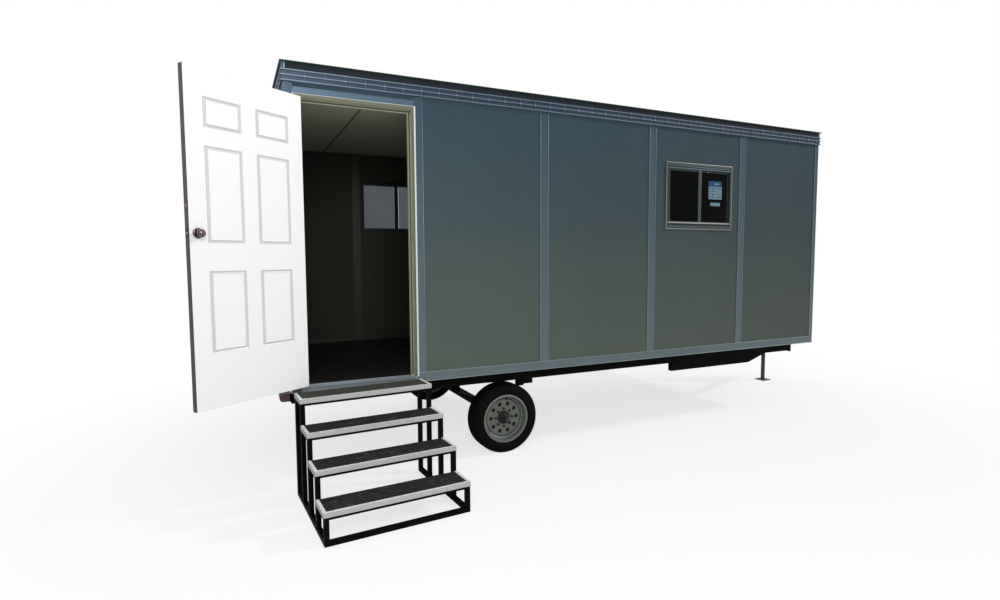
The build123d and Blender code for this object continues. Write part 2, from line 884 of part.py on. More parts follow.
def build_axle():
    """Axle beam with its spindles, leaf springs, and the mounts under the rails."""
    half = axle_size / 2
    beam_end = wheel_lip + rim_disc_recess + rim_disc + hub_length + axle_hub_gap
    beam = block(
        wheel_x - half, wheel_x + half,
        beam_end, cabin_depth - beam_end,
        wheel_z - half, wheel_z + half,
    )
    spindle_tip = wheel_lip + rim_disc_recess + rim_disc + axle_hub_gap
    spindle = rod(
        spindle_axle_radius,
        (wheel_x, spindle_tip, wheel_z), (wheel_x, beam_end, wheel_z),
    )
    add("axle", beam + spindle + far_side(spindle))

    seat = wheel_z + half + spring_block
    eye_z = seat + spring_leaf / 2 + spring_rise
    low_y = spring_inset
    high_y = spring_inset + spring_width
    reach = spring_half_length
    points = [(-reach, eye_z), (0, seat + spring_leaf / 2), (reach, eye_z)]
    arc = ThreePointArc(*points)
    leaf_plane = Plane(origin=(wheel_x, low_y, 0), x_dir=(1, 0, 0), z_dir=(0, -1, 0))
    strip = trace(arc, spring_leaf)
    main_leaf = extrude(leaf_plane * strip, -spring_width)
    spring = main_leaf
    for side in (-1, 1):
        x = wheel_x + side * reach
        spring += rod(eye_radius, (x, low_y, eye_z), (x, high_y, eye_z))
    spring += block(
        wheel_x - spring_pack_length / 2, wheel_x + spring_pack_length / 2,
        low_y, high_y,
        seat, seat + spring_pack,
    )
    spring += block(
        wheel_x - half, wheel_x + half, low_y, high_y, wheel_z + half, seat,
    )
    add("leaf_springs", *both_sides(spring))

    for side in (-1, 1):
        x = wheel_x + side * reach
        for y in (low_y - hanger_plate - hanger_gap, high_y + hanger_gap):
            hanger = block(
                x - hanger_length / 2, x + hanger_length / 2,
                y, y + hanger_plate,
                eye_z - eye_radius, chassis_top,
            )
            add("axle_mounts", *both_sides(clear_of_members(hanger)))

    bracket_x = wheel_x + bracket_offset
    bracket = block(
        bracket_x - bracket_length / 2, bracket_x + bracket_length / 2,
        rail_inset, rail_inset + rail_width,
        rail_bottom - bracket_height, rail_bottom,
    )
    add("axle_mounts", *both_sides(bracket))
    bump = block(
        wheel_x - bump_length / 2, wheel_x + bump_length / 2,
        bump_inset, bump_inset + bump_width,
        rail_bottom - bump_drop, chassis_top,
    )
    add("axle_mounts", *both_sides(clear_of_members(bump)))


def build_lamps():
    """Red lamp blocks under the door end's corners."""
    top = chassis_top - lamp_drop
    lamp = block(-lamp_length, 0, rail_inset, rail_inset + lamp_width, top - lamp_height, top)
    low_edge = lamp.edges().filter_by(Axis.Y).sort_by(lambda edge: edge.center().X + edge.center().Z)[0]
    add("rear_lamps", *both_sides(fillet(low_edge, lamp_round)))


def place_steps(shape):
    """Put a piece of the steps before the doorway, turned as they stand."""
    spot = Pos(steps_corner, -steps_gap, 0)
    return spot * Rot(0, 0, steps_turn) * Pos(-steps_width, 0, 0) * shape


def build_steps():
    """Welded tube frame with four treads. Local X runs along a tread, -Y runs forward."""
    tops = [first_rise + rise * i for i in range(tread_count)]
    fronts = [going * (tread_count - 1 - i) + tread_depth for i in range(tread_count)]
    skin = nosing_sheet
    base_front = fronts[0] - skin
    side = block(skin, skin + tube, -base_front, 0, 0, tube)
    side += block(skin, skin + tube, -tube, 0, 0, tops[-1] - board_thickness)
    for top, front in zip(tops, fronts):
        seat = top - board_thickness
        leg = front - skin
        side += block(skin, skin + tube, -leg, -leg + tube, 0, seat)
        side += block(skin, skin + tube, -leg, -(front - tread_depth), seat - tube, seat)
    add("steps_side_frames", place_steps(side))
    add("steps_side_frames", place_steps(Pos(steps_width - tube - 2 * skin, 0, 0) * side))

    bars = [(base_front, tube)]
    for top, front in zip(tops, fronts):
        bars.append((front - skin, top - board_thickness))
        bars.append((front - tread_depth + tube, top - board_thickness))
    for front, top in bars:
        bar = block(
            skin + tube, steps_width - skin - tube,
            -front, -front + tube,
            top - tube, top,
        )
        add("steps_cross_bars", place_steps(bar))

    for top, front in zip(tops, fronts):
        rear = front - tread_depth
        edge = block(0, steps_width, -front, -rear, top - nosing_height, top)
        edge -= block(skin, steps_width - skin, -front + skin, -rear, top - nosing_height, top - skin)
        open_left = nosing_width
        open_right = steps_width - nosing_width
        edge -= block(open_left, open_right, -front + nosing_width, -rear, top - skin, top)
        add("tread_nosings", place_steps(edge))
        board = block(skin, steps_width - skin, -front + skin, -rear, top - board_thickness, top - skin)
        board += block(open_left, open_right, -front + nosing_width, -rear, top - skin, top - tread_drop)
        add("treads", place_steps(board))


build_walls()
build_roof()
build_doorway()
build_windows()
build_door()
build_chassis()
build_wheels()
build_axle()
build_lamps()
build_steps()

# The origin is on the ground, in the middle of the whole outline.
whole = Compound([solid for solids in nodes.values() for solid in solids]).bounding_box()
origin = Vector((whole.min.X + whole.max.X) / 2, (whole.min.Y + whole.max.Y) / 2, whole.min.Z)
to_origin = Pos(-origin.X, -origin.Y, -origin.Z)

for name, solids in nodes.items():
    export_step(to_origin * Compound(solids), f"parts/{name}.step")
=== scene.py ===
import math

import bmesh
import bpy
from mathutils import Matrix, Vector


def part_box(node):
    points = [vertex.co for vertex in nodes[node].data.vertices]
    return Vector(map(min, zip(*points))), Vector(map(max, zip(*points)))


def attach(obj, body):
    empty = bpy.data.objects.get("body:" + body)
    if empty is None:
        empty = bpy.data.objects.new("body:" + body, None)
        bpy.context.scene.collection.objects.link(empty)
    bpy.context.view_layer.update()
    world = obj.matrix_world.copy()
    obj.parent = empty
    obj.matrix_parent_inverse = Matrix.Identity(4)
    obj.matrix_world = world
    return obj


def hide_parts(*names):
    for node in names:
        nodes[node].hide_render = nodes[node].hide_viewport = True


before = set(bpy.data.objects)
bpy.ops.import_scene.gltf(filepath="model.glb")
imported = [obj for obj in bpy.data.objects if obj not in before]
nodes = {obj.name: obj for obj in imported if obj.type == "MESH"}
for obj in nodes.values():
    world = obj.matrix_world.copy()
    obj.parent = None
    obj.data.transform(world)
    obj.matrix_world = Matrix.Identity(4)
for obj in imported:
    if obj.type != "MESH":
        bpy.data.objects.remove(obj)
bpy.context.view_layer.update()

# Places, in metres. A place is counted from the cabin's front corner at the door end,
# on the ground: x along the front wall, y into the cabin, z up.
posts_low, posts_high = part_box("corner_posts")
corner = Vector((posts_low.x, posts_low.y, 0))
length = posts_high.x - posts_low.x
depth = posts_high.y - posts_low.y
wall_foot = posts_low.z
wall_top = posts_high.z
wall = 0.064
strip_width = 0.088
proud = 0.003
rail_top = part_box("bottom_rails")[1].z
roof_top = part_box("roof_panels")[1].z
cap_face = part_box("roof_cap")[1].z - 0.006
front_joints = (2.200, 3.438, 4.676)
back_joints = (0.985, 2.223, 3.461, 4.699)
end_joint = depth / 2
door_post = (0.986, 1.060)
frame_left, frame_right = 0.084, 0.966
frame_low, frame_head = 0.808, 2.977
leaf_left, leaf_right = 0.090, 0.960
leaf_low, leaf_high = 0.823, 2.971
leaf_front, leaf_back = -0.016, 0.029
pin = Vector((0.087, -0.022, 0))
door_open = math.radians(146.6)  # as it stands in the photograph
window_left, back_window_left = 3.613, 1.036
window_low, window_wide, window_high = 2.073, 0.905, 0.676
wheel = Vector((1.835, 0.060, 0.320))
tyre_middle = 0.146


def at(x, y, z):
    """A place on the cabin, in the frame."""
    return corner + Vector((x, y, z))


# Finishes


def tone(red, green, blue):
    """A colour as it looks on a screen, 0 to 255, as the shader wants it."""
    def straight(value):
        value /= 255
        return value / 12.92 if value <= 0.04045 else ((value + 0.055) / 1.055) ** 2.4
    return (straight(red), straight(green), straight(blue), 1.0)


class Graph:
    """A tree of shader nodes under construction."""

    def __init__(self, tree):
        self.tree = tree

    def add(self, kind, **inputs):
        node = self.tree.nodes.new(kind)
        for key, value in inputs.items():
            self.put(node.inputs[key.replace("_", " ")], value)
        return node

    def put(self, socket, value):
        if isinstance(value, bpy.types.NodeSocket):
            self.tree.links.new(value, socket)
        else:
            socket.default_value = value

    def math(self, operation, a, b=0.0):
        node = self.add("ShaderNodeMath")
        node.operation = operation
        for socket, value in zip(node.inputs, (a, b)):
            self.put(socket, value)
        return node.outputs[0]

    def span(self, value, low, high, to_low=0.0, to_high=1.0, smooth=False):
        """Map a range of values to another one, clamped."""
        node = self.add("ShaderNodeMapRange")
        node.interpolation_type = "SMOOTHSTEP" if smooth else "LINEAR"
        for socket, item in zip(node.inputs, (value, low, high, to_low, to_high)):
            self.put(socket, item)
        return node.outputs[0]


class Finish(Graph):
    """A material under construction."""

    def __init__(self, name, colour, rough, metallic=0.0, specular=0.5):
        self.material = bpy.data.materials.new(name)
        self.material.use_nodes = True
        super().__init__(self.material.node_tree)
        self.shader = self.tree.nodes["Principled BSDF"]
        self.base = colour
        self.shader.inputs["Base Color"].default_value = colour
        self.shader.inputs["Roughness"].default_value = rough
        self.shader.inputs["Metallic"].default_value = metallic
        self.shader.inputs["Specular IOR Level"].default_value = specular
        self.place = self.add("ShaderNodeTexCoord").outputs["Object"]
        self.height = None

    def axes(self):
        """The place on the piece, as x, y and z."""
        return self.add("ShaderNodeSeparateXYZ", Vector=self.place).outputs

    def normal(self):
        """The direction that the surface faces, as x, y and z."""
        direction = self.add("ShaderNodeTexCoord").outputs["Normal"]
        return self.add("ShaderNodeSeparateXYZ", Vector=direction).outputs

    def stretched(self, scale):
        """Object coordinates, scaled per axis."""
        return self.add("ShaderNodeMapping", Vector=self.place, Scale=scale).outputs[0]

    def noise(self, scale, detail=3.0, roughness=0.5, stretch=(1, 1, 1), distortion=0.0):
        node = self.add(
            "ShaderNodeTexNoise", Vector=self.stretched(stretch), Scale=scale,
            Detail=detail, Roughness=roughness, Distortion=distortion,
        )
        return node.outputs[0]

    def cells(self, scale):
        return self.add("ShaderNodeTexVoronoi", Vector=self.place, Scale=scale).outputs[0]

    def mix(self, amount, a, b, blend="MIX"):
        node = self.tree.nodes.new("ShaderNodeMix")
        node.data_type = "RGBA"
        node.blend_type = blend
        self.put(node.inputs[0], amount)
        self.put(node.inputs[6], a)
        self.put(node.inputs[7], b)
        return node.outputs[2]

    def blend(self, amount, colour, share=1.0):
        """Lay a colour over what is there, by a share of an amount."""
        if share < 1.0:
            amount = self.math("MULTIPLY", amount, share)
        self.base = self.mix(amount, self.base, colour)

    def shade(self, value, low, high):
        """Vary lightness: a value of 0 gives low times the colour, and 1 gives high times it."""
        level = self.span(value, 0.0, 1.0, low, high)
        grey = self.add("ShaderNodeCombineColor", Red=level, Green=level, Blue=level).outputs[0]
        self.base = self.mix(1.0, self.base, grey, "MULTIPLY")

    def rough(self, value, low, high):
        """Vary roughness between two levels."""
        self.put(self.shader.inputs["Roughness"], self.span(value, 0.0, 1.0, low, high))

    def bump(self, value, strength, distance):
        """Raise or sink the surface by a value, on top of what is there."""
        node = self.add("ShaderNodeBump", Height=value, Strength=strength, Distance=distance)
        if self.height is not None:
            self.put(node.inputs["Normal"], self.height)
        self.height = node.outputs[0]

    def within(self, low, high):
        """1 inside a box of the frame, 0 outside it."""
        result = None
        for axis, start, end in zip(self.axes(), low, high):
            middle = (start + end) / 2
            offset = self.math("ABSOLUTE", self.math("SUBTRACT", axis, middle))
            inside = self.math("LESS_THAN", offset, (end - start) / 2)
            result = inside if result is None else self.math("MULTIPLY", result, inside)
        return result

    def outside_by(self, low, high):
        """How far a place lies outside an upright box, seen from above."""
        reach = None
        x, y, _ = self.axes()
        for axis, start, end in ((x, low.x, high.x), (y, low.y, high.y)):
            offset = self.math("ABSOLUTE", self.math("SUBTRACT", axis, (start + end) / 2))
            past = self.math("SUBTRACT", offset, (end - start) / 2)
            reach = past if reach is None else self.math("MAXIMUM", reach, past)
        return reach

    def done(self):
        """Connect what was built up and hand over the material."""
        self.put(self.shader.inputs["Base Color"], self.base)
        if self.height is not None:
            self.put(self.shader.inputs["Normal"], self.height)
        return self.material


def inside_mask(finish):
    """1 for what faces the room: within the wall's middle planes."""
    half = wall / 2
    low = at(half, half, wall_foot)
    high = at(length - half, depth - half, wall_top)
    return finish.within(low, high)


def wall_sheet():
    """Coated sheet: green-grey below and blue-grey above as painted sky and ground reflection, darker
    towards the tow end as painted shade, waved and rubbed.
    """
    finish = Finish("wall_sheet", tone(78, 86, 80), 0.6, specular=0.12)
    x, _, z = finish.axes()
    # Painted reflection: the ground's green low down, the sky's blue high up.
    climb = finish.span(z, wall_foot + 0.1, wall_top - 0.1)
    finish.blend(finish.span(climb, 0.0, 0.55), tone(62, 74, 75))
    finish.blend(finish.span(climb, 0.45, 1.0), tone(45, 64, 74))
    # Painted shade: the sheet grows darker towards the tow end.
    finish.shade(finish.span(x, corner.x + door_post[1], corner.x + length), 1.0, 0.78)
    waves = finish.noise(0.9, 2.0, 0.4, (1, 1, 0.6))
    finish.shade(waves, 0.86, 1.14)
    streaks = finish.noise(6.0, 4.0, 0.6, (2.2, 2.2, 0.12))
    finish.shade(streaks, 0.94, 1.06)
    grain = finish.noise(160.0, 2.0, 0.6)
    finish.shade(grain, 0.97, 1.03)
    rubbed = finish.span(finish.noise(5.0, 5.0, 0.7, (1, 1, 14.0), 0.4), 0.68, 0.76)
    finish.blend(rubbed, tone(150, 158, 150), 0.30)
    lining = inside_mask(finish)
    finish.blend(lining, tone(48, 48, 41))
    finish.rough(finish.noise(3.0, 3.0, 0.6), 0.5, 0.68)
    finish.bump(waves, 0.25, 0.010)
    finish.bump(grain, 0.05, 0.0006)
    return finish.done()


def mill_aluminium(name="mill_aluminium", colour=(90, 103, 106), rough=0.4, high=(42, 63, 78)):
    """Extruded aluminium with fine drawing lines and dull patches, bluer high up as painted sky
    reflection.
    """
    finish = Finish(name, tone(*colour), rough, metallic=0.55)
    lines = finish.noise(240.0, 2.0, 0.6, (1, 1, 0.02))
    cross = finish.noise(240.0, 2.0, 0.6, (0.02, 1, 1))
    finish.shade(lines, 0.94, 1.06)
    dull = finish.noise(7.0, 4.0, 0.6)
    finish.shade(dull, 0.88, 1.12)
    # Painted sky reflection: the colour turns to the given blue with height.
    climb = finish.span(finish.axes()[2], wall_foot, wall_top)
    finish.blend(climb, tone(*high))
    lining = inside_mask(finish)
    finish.blend(lining, tone(50, 50, 44))
    finish.rough(dull, rough - 0.08, rough + 0.14)
    finish.bump(cross, 0.05, 0.0003)
    return finish.done()


def trim_ladder():
    """Edge trim: pale ribs on a dark blue ground."""
    finish = Finish("trim_ladder", tone(34, 48, 68), 0.42, metallic=0.5)
    ground = 0.0085
    out = finish.outside_by(at(0, 0, 0), at(length, depth, 0))
    rib = finish.math("GREATER_THAN", out, ground)
    dull = finish.noise(9.0, 4.0, 0.6)
    finish.blend(rib, tone(88, 104, 118))
    finish.shade(dull, 0.85, 1.15)
    finish.rough(dull, 0.32, 0.5)
    return finish.done()


def roof_sheet():
    """Dark roofing, dark green on top, with a blue cast at the door end that is painted sky reflection.
    """
    finish = Finish("roof_sheet", tone(24, 31, 38), 0.7, specular=0.15)
    x, _, z = finish.axes()
    patches = finish.noise(2.2, 4.0, 0.6)
    finish.shade(patches, 0.8, 1.2)
    top = finish.math("GREATER_THAN", z, cap_face - 0.0005)
    finish.blend(top, tone(44, 60, 48))
    # Painted sky reflection on the end face at the door end.
    end = finish.math("LESS_THAN", x, corner.x - 0.001)
    finish.blend(end, tone(58, 92, 122), 0.8)
    grit = finish.noise(260.0, 3.0, 0.7)
    finish.rough(patches, 0.5, 0.75)
    finish.bump(grit, 0.12, 0.001)
    return finish.done()


def ceiling_sheet():
    """Off-white coated sheet overhead, in shade."""
    finish = Finish("ceiling_sheet", tone(186, 187, 164), 0.5, specular=0.3)
    finish.shade(finish.noise(1.4, 3.0, 0.5), 0.92, 1.08)
    finish.shade(finish.noise(180.0, 2.0, 0.5), 0.97, 1.03)
    finish.bump(finish.noise(1.4, 2.0, 0.5), 0.15, 0.006)
    return finish.done()


def dark_joint():
    """Dark strip between two ceiling sheets, also for rubber gaskets, and painted shade in the window
    sleeves, track grooves and drain slots.
    """
    finish = Finish("dark_joint", tone(38, 38, 32), 0.7, specular=0.2)
    finish.shade(finish.noise(30.0, 3.0, 0.6), 0.8, 1.2)
    return finish.done()


def floor_board():
    """Dark sheet vinyl with pale scuffs."""
    finish = Finish("floor_board", tone(22, 22, 21), 0.55, specular=0.3)
    finish.shade(finish.noise(5.0, 5.0, 0.6), 0.75, 1.25)
    scuffs = finish.span(finish.noise(9.0, 6.0, 0.7, (1, 2.5, 1), 2.0), 0.62, 0.72)
    finish.blend(scuffs, tone(78, 74, 66), 0.25)
    finish.rough(finish.noise(4.0, 3.0, 0.5), 0.4, 0.7)
    finish.bump(finish.noise(120.0, 2.0, 0.5), 0.08, 0.0008)
    return finish.done()


def frame_paint():
    """Cream paint on the door frame, with painted shade on the outer faces, lighter on the head than
    the sides, within its thin white edge.
    """
    finish = Finish("frame_paint", tone(166, 170, 146), 0.5, specular=0.3)
    _, y, z = finish.axes()
    front, side, top, reach = 0.0152, 0.016, 0.025, 0.1
    # Painted shade: the outer faces darker, the sides darker than the head.
    outside = finish.math("LESS_THAN", y, corner.y - front)
    head = finish.math("GREATER_THAN", z, frame_head)
    finish.blend(outside, finish.mix(head, tone(84, 88, 74), tone(98, 101, 80)))
    inner = finish.within(
        at(frame_left - side, -reach, 0), at(frame_right + side, reach, frame_head + top),
    )
    rim = finish.math("MULTIPLY", outside, finish.math("SUBTRACT", 1.0, inner))
    finish.blend(rim, tone(196, 204, 204))
    finish.shade(finish.noise(12.0, 4.0, 0.6), 0.93, 1.07)
    finish.bump(finish.noise(90.0, 3.0, 0.6), 0.06, 0.0006)
    return finish.done()


def door_paint():
    """White satin paint over pressed steel, with a faint grain and painted shade on the sloping edges.
    """
    finish = Finish("door_paint", tone(219, 219, 219), 0.38, specular=0.4)
    # Painted shade: grey on the sloping faces of the fields, picked out by their normals.
    x, y, _ = finish.normal()
    flat = finish.math(
        "ADD", finish.math("MULTIPLY", x, math.sin(door_open)),
        finish.math("MULTIPLY", y, math.cos(door_open)),
    )
    groove = finish.math("LESS_THAN", finish.math("ABSOLUTE", flat), 0.97)
    finish.blend(groove, tone(140, 143, 138), 0.45)
    grain = finish.noise(60.0, 4.0, 0.6, (4, 4, 0.25), 0.6)
    finish.shade(grain, 0.985, 1.0)
    smudge = finish.span(finish.noise(7.0, 5.0, 0.65), 0.62, 0.8)
    finish.blend(smudge, tone(204, 201, 192), 0.12)
    finish.rough(finish.noise(20.0, 3.0, 0.5), 0.3, 0.45)
    finish.bump(grain, 0.04, 0.0004)
    return finish.done()


def steel(name, colour, rough, metallic=0.9):
    """Steel, bare, plated or painted, with fine handling marks."""
    finish = Finish(name, tone(*colour), rough, metallic=metallic)
    marks = finish.noise(35.0, 5.0, 0.65)
    finish.shade(marks, 0.82, 1.18)
    finish.rough(marks, max(rough - 0.1, 0.05), rough + 0.15)
    finish.bump(finish.noise(300.0, 2.0, 0.5), 0.04, 0.0002)
    return finish.done()


def window_glass():
    """Tinted panes with a little dust."""
    finish = Finish("window_glass", tone(78, 84, 88), 0.02, specular=0.2)
    finish.shader.inputs["Transmission Weight"].default_value = 1.0
    finish.shader.inputs["IOR"].default_value = 1.12
    dust = finish.span(finish.noise(5.0, 6.0, 0.7), 0.5, 0.75)
    finish.blend(dust, tone(110, 112, 108), 0.2)
    return finish.done()


def chassis_paint():
    """Black paint on hot-rolled steel, with scale, dust and a little rust."""
    finish = Finish("chassis_paint", tone(8, 8, 8), 0.6, specular=0.03)
    scale = finish.noise(18.0, 6.0, 0.7)
    finish.shade(scale, 0.7, 1.3)
    dust = finish.span(finish.noise(4.0, 5.0, 0.6), 0.5, 0.8)
    finish.blend(dust, tone(60, 57, 52), 0.07)
    rust = finish.span(finish.noise(11.0, 8.0, 0.75), 0.67, 0.75)
    finish.blend(rust, tone(60, 38, 28), 0.25)
    finish.rough(scale, 0.38, 0.62)
    finish.bump(scale, 0.10, 0.0012)
    return finish.done()


def tread_board():
    """Non-slip tread mat, dark and mottled, with pale scuffed streaks."""
    finish = Finish("tread_board", tone(30, 33, 29), 0.85, specular=0.15)
    mottle = finish.noise(26.0, 8.0, 0.8, (1, 1.6, 1))
    finish.shade(finish.span(mottle, 0.3, 0.7), 0.3, 1.7)
    streaks = finish.span(finish.noise(6.0, 8.0, 0.8, (1, 2.4, 1), 2.6), 0.55, 0.62)
    finish.blend(streaks, tone(112, 115, 108), 0.38)
    top_step = finish.span(finish.axes()[2], 0.70, 0.76)
    finish.blend(top_step, finish.mix(mottle, tone(40, 44, 38), tone(104, 106, 96)), 0.45)
    finish.bump(mottle, 0.5, 0.004)
    finish.bump(finish.noise(420.0, 2.0, 0.6), 0.3, 0.001)
    return finish.done()


def nosing_metal():
    """Worn aluminium edging with a painted highlight on its top faces, duller in front."""
    finish = Finish("nosing_metal", tone(168, 165, 166), 0.42, metallic=0.15)
    # Painted highlight: faces that look up are made much lighter.
    upward = finish.normal()[2]
    finish.blend(finish.span(upward, 0.3, 0.8), tone(232, 232, 231))
    wear = finish.noise(26.0, 5.0, 0.65, (0.3, 1, 1))
    finish.shade(wear, 0.82, 1.14)
    finish.rough(wear, 0.3, 0.55)
    finish.bump(finish.noise(320.0, 2.0, 0.5, (0.02, 1, 1)), 0.06, 0.0003)
    return finish.done()


def lamp_red():
    """Red lens plastic with small prisms."""
    finish = Finish("lamp_red", tone(80, 32, 42), 0.22, specular=0.5)
    finish.shade(finish.noise(14.0, 4.0, 0.6), 0.85, 1.15)
    finish.bump(finish.cells(120.0), 0.12, 0.001)
    return finish.done()


def tyre_rubber():
    """Black rubber with patches of dust."""
    finish = Finish("tyre_rubber", tone(10, 10, 9), 0.85, specular=0.05)
    dust = finish.noise(9.0, 6.0, 0.7)
    finish.shade(dust, 0.7, 1.3)
    finish.blend(finish.span(dust, 0.55, 0.85, 0.0, 0.2), tone(42, 39, 35))
    finish.rough(dust, 0.7, 0.9)
    finish.bump(finish.noise(220.0, 3.0, 0.6), 0.15, 0.0008)
    return finish.done()


def rim_paint():
    """Silver-grey wheel paint with dust and patches of grime."""
    finish = Finish("rim_paint", tone(92, 96, 88), 0.4, metallic=0.25)
    dust = finish.noise(16.0, 6.0, 0.7)
    finish.shade(dust, 0.78, 1.16)
    grime = finish.span(finish.noise(30.0, 6.0, 0.7), 0.58, 0.75)
    finish.blend(grime, tone(92, 86, 76), 0.35)
    finish.rough(dust, 0.3, 0.55)
    finish.bump(finish.noise(260.0, 2.0, 0.5), 0.05, 0.0004)
    return finish.done()


def film(name, colour):
    """Printed film or soft plastic, faintly faded."""
    finish = Finish(name, tone(*colour), 0.5, specular=0.2)
    finish.shade(finish.noise(40.0, 3.0, 0.6), 0.9, 1.1)
    return finish.done()


sheet = wall_sheet()
aluminium = mill_aluminium()
window_metal = mill_aluminium("window_metal", (78, 90, 88), 0.36, (44, 58, 64))
# A darker copy of the window aluminium: painted shade on the sashes, which sit back in the frame.
sash_metal = mill_aluminium("sash_metal", (48, 56, 56), 0.4, (30, 38, 42))
ladder = trim_ladder()
roofing = roof_sheet()
ceiling = ceiling_sheet()
joint_and_shade_strip = dark_joint()
flooring = floor_board()
cream = frame_paint()
white = door_paint()
zinc = steel("zinc_plate", (150, 152, 150), 0.4)
dark_chrome = steel("dark_chrome", (104, 92, 96), 0.14)
glass = window_glass()
black_paint = chassis_paint()
grey_paint = steel("grey_paint", (60, 62, 64), 0.5, 0.3)
mat_board = tread_board()
nosing = nosing_metal()
red_lens = lamp_red()
rubber = tyre_rubber()
silver = rim_paint()
iron = steel("hub_iron", (58, 57, 56), 0.5, 0.7)
# A lighter copy of the aluminium: painted highlight on beads, lips, ribs and clips.
bright = mill_aluminium("bright_edge", (118, 130, 134), 0.34, (74, 96, 110))
header_metal = mill_aluminium("header_metal", high=(64, 86, 102))
sill_metal = mill_aluminium("sill_metal", (150, 160, 166), 0.36)
black_iron = steel("black_iron", (6, 6, 6), 0.8, 0.0)
bright_rim = steel("bright_rim", (140, 146, 146), 0.35, 0.4)
dull_rim = steel("dull_rim", (92, 98, 102), 0.5, 0.1)
ladder_rib = steel("ladder_rib", (62, 76, 90), 0.45, 0.4)
# Steel for the door's latch edge: bare steel, darkened further as painted shade on that edge.
edge_steel = steel("edge_steel", (78, 74, 82), 0.42, 0.6)
brass = steel("brass_plate", (98, 40, 44), 0.42, 0.5)
grime = steel("packed_grime", (26, 25, 23), 0.85, 0.0)
label_blue = film("label_blue", (4, 58, 94))
label_pale = film("label_pale", (96, 122, 136))
label_ink = film("label_ink", (24, 34, 44))
seal_strip = film("seal_strip", (70, 72, 60))
pale_edge = steel("pale_edge", (150, 152, 148), 0.4, 0.4)

finishes = {
    sheet: (
        "front_panels", "front_window_panel", "back_panels", "back_window_panel",
        "end_panels", "door_head_panel",
    ),
    aluminium: (
        "bottom_rails", "corner_posts", "wall_posts",
    ),
    header_metal: ("door_header",),
    sill_metal: ("door_sill",),
    window_metal: ("window_frames",),
    ladder: ("roof_edge_trim",),
    roofing: ("roof_cap",),
    ceiling: ("roof_panels",),
    joint_and_shade_strip: ("roof_joints",),
    flooring: ("floor_deck",),
    cream: ("door_frame",),
    white: ("door_leaf",),
    zinc: ("hinge_frame_plates", "hinge_door_plates"),
    dark_chrome: ("door_knobs",),
    glass: ("window_glass",),
    black_paint: (
        "side_rails", "cross_members", "lapped_beams", "drawbar_arms", "axle",
        "leaf_springs", "axle_mounts", "steps_side_frames", "steps_cross_bars",
    ),
    grey_paint: ("coupler", "jack_tube", "jack_leg"),
    mat_board: ("treads",),
    nosing: ("tread_nosings",),
    red_lens: ("rear_lamps",),
    rubber: ("tyre_near", "tyre_far"),
    silver: ("rim_near", "rim_far"),
    black_iron: ("hub_near", "hub_far"),
}
for finish, names in finishes.items():
    for name in names:
        mesh = nodes[name].data
        mesh.materials.clear()
        mesh.materials.append(finish)


# Modelling tools


def hold(*pieces):
    """Select these pieces alone, the first one active."""
    bpy.ops.object.select_all(action="DESELECT")
    for piece in pieces:
        piece.select_set(True)
    if pieces:
        bpy.context.view_layer.objects.active = pieces[0]


def settle():
    """Apply a new piece's place, turn and size to its mesh."""
    bpy.ops.object.transform_apply(location=True, rotation=True, scale=True)
    return bpy.context.object


def bar(low, high):
    """A block between two places, to be shaped further."""
    hold()
    low, high = Vector(low), Vector(high)
    bpy.ops.mesh.primitive_cube_add(size=1, location=(low + high) / 2, scale=high - low)
    return settle()


def disc(place, radius, thickness, sides):
    """A round blank standing on a place, its axis upright."""
    hold()
    middle = Vector(place) + Vector((0, 0, thickness / 2))
    bpy.ops.mesh.primitive_cylinder_add(
        vertices=sides, radius=radius, depth=thickness, location=middle,
    )
    return settle()


def edit(piece, kind="FACE"):
    """Open a piece in edit mode with nothing selected."""
    hold(piece)
    bpy.ops.object.mode_set(mode="EDIT")
    bpy.ops.mesh.select_mode(type=kind)
    bpy.ops.mesh.select_all(action="DESELECT")


def leave(piece):
    bpy.ops.object.mode_set(mode="OBJECT")
    return piece


def pick(piece, test, kind="faces"):
    """Select the faces or edges whose middle passes a test."""
    shape = bmesh.from_edit_mesh(piece.data)
    for item in getattr(shape, kind):
        places = [vert.co for vert in item.verts]
        if test(sum(places, Vector()) / len(places), item):
            item.select_set(True)
    bmesh.update_edit_mesh(piece.data)


def looking(axis, sign=1):
    """A test for the faces that look along an axis, or against it."""
    return lambda middle, face: face.normal[axis] * sign > 0.9


def front_edge(front):
    """A test for the edges of a front face; the front is towards -Y."""
    return lambda middle, edge: middle.y < front + 1e-4


def top_edge(top):
    """A test for the edges of a top face."""
    return lambda middle, edge: middle.z > top - 5e-4


def outwards():
    """Turn all faces of the piece in edit mode outwards."""
    bpy.ops.mesh.select_all(action="SELECT")
    bpy.ops.mesh.normals_make_consistent(inside=False)


def rounded(piece, width, segments=2, test=lambda middle, edge: True):
    """Bevel the edges whose middle passes a test."""
    edit(piece, "EDGE")
    pick(piece, test, "edges")
    bpy.ops.mesh.bevel(offset=width, segments=segments, affect="EDGES", clamp_overlap=True)
    return leave(piece)


def stepped(piece, test, *steps):
    """Inset the faces that pass a test, step by step; a step is a width and a rise."""
    edit(piece)
    pick(piece, test)
    for width, rise in steps:
        bpy.ops.mesh.inset(thickness=width, depth=rise)
    return leave(piece)


def pierced(piece, axis, side, squash=1.0, middle=(0, 0, 0)):
    """Inset a block's two faces across an axis and bridge them; squash sets the hole's height."""
    edit(piece)
    pick(piece, lambda place, face: abs(face.normal[axis]) > 0.9)
    bpy.ops.mesh.inset(thickness=side, depth=0)
    bpy.ops.transform.resize(value=(1, 1, squash), center_override=middle)
    bpy.ops.mesh.bridge_edge_loops()
    outwards()
    return leave(piece)


def bead_bar(low, high, width):
    """A bar with the edges of its front rounded."""
    return rounded(bar(low, high), width, 3, front_edge(min(low[1], high[1])))


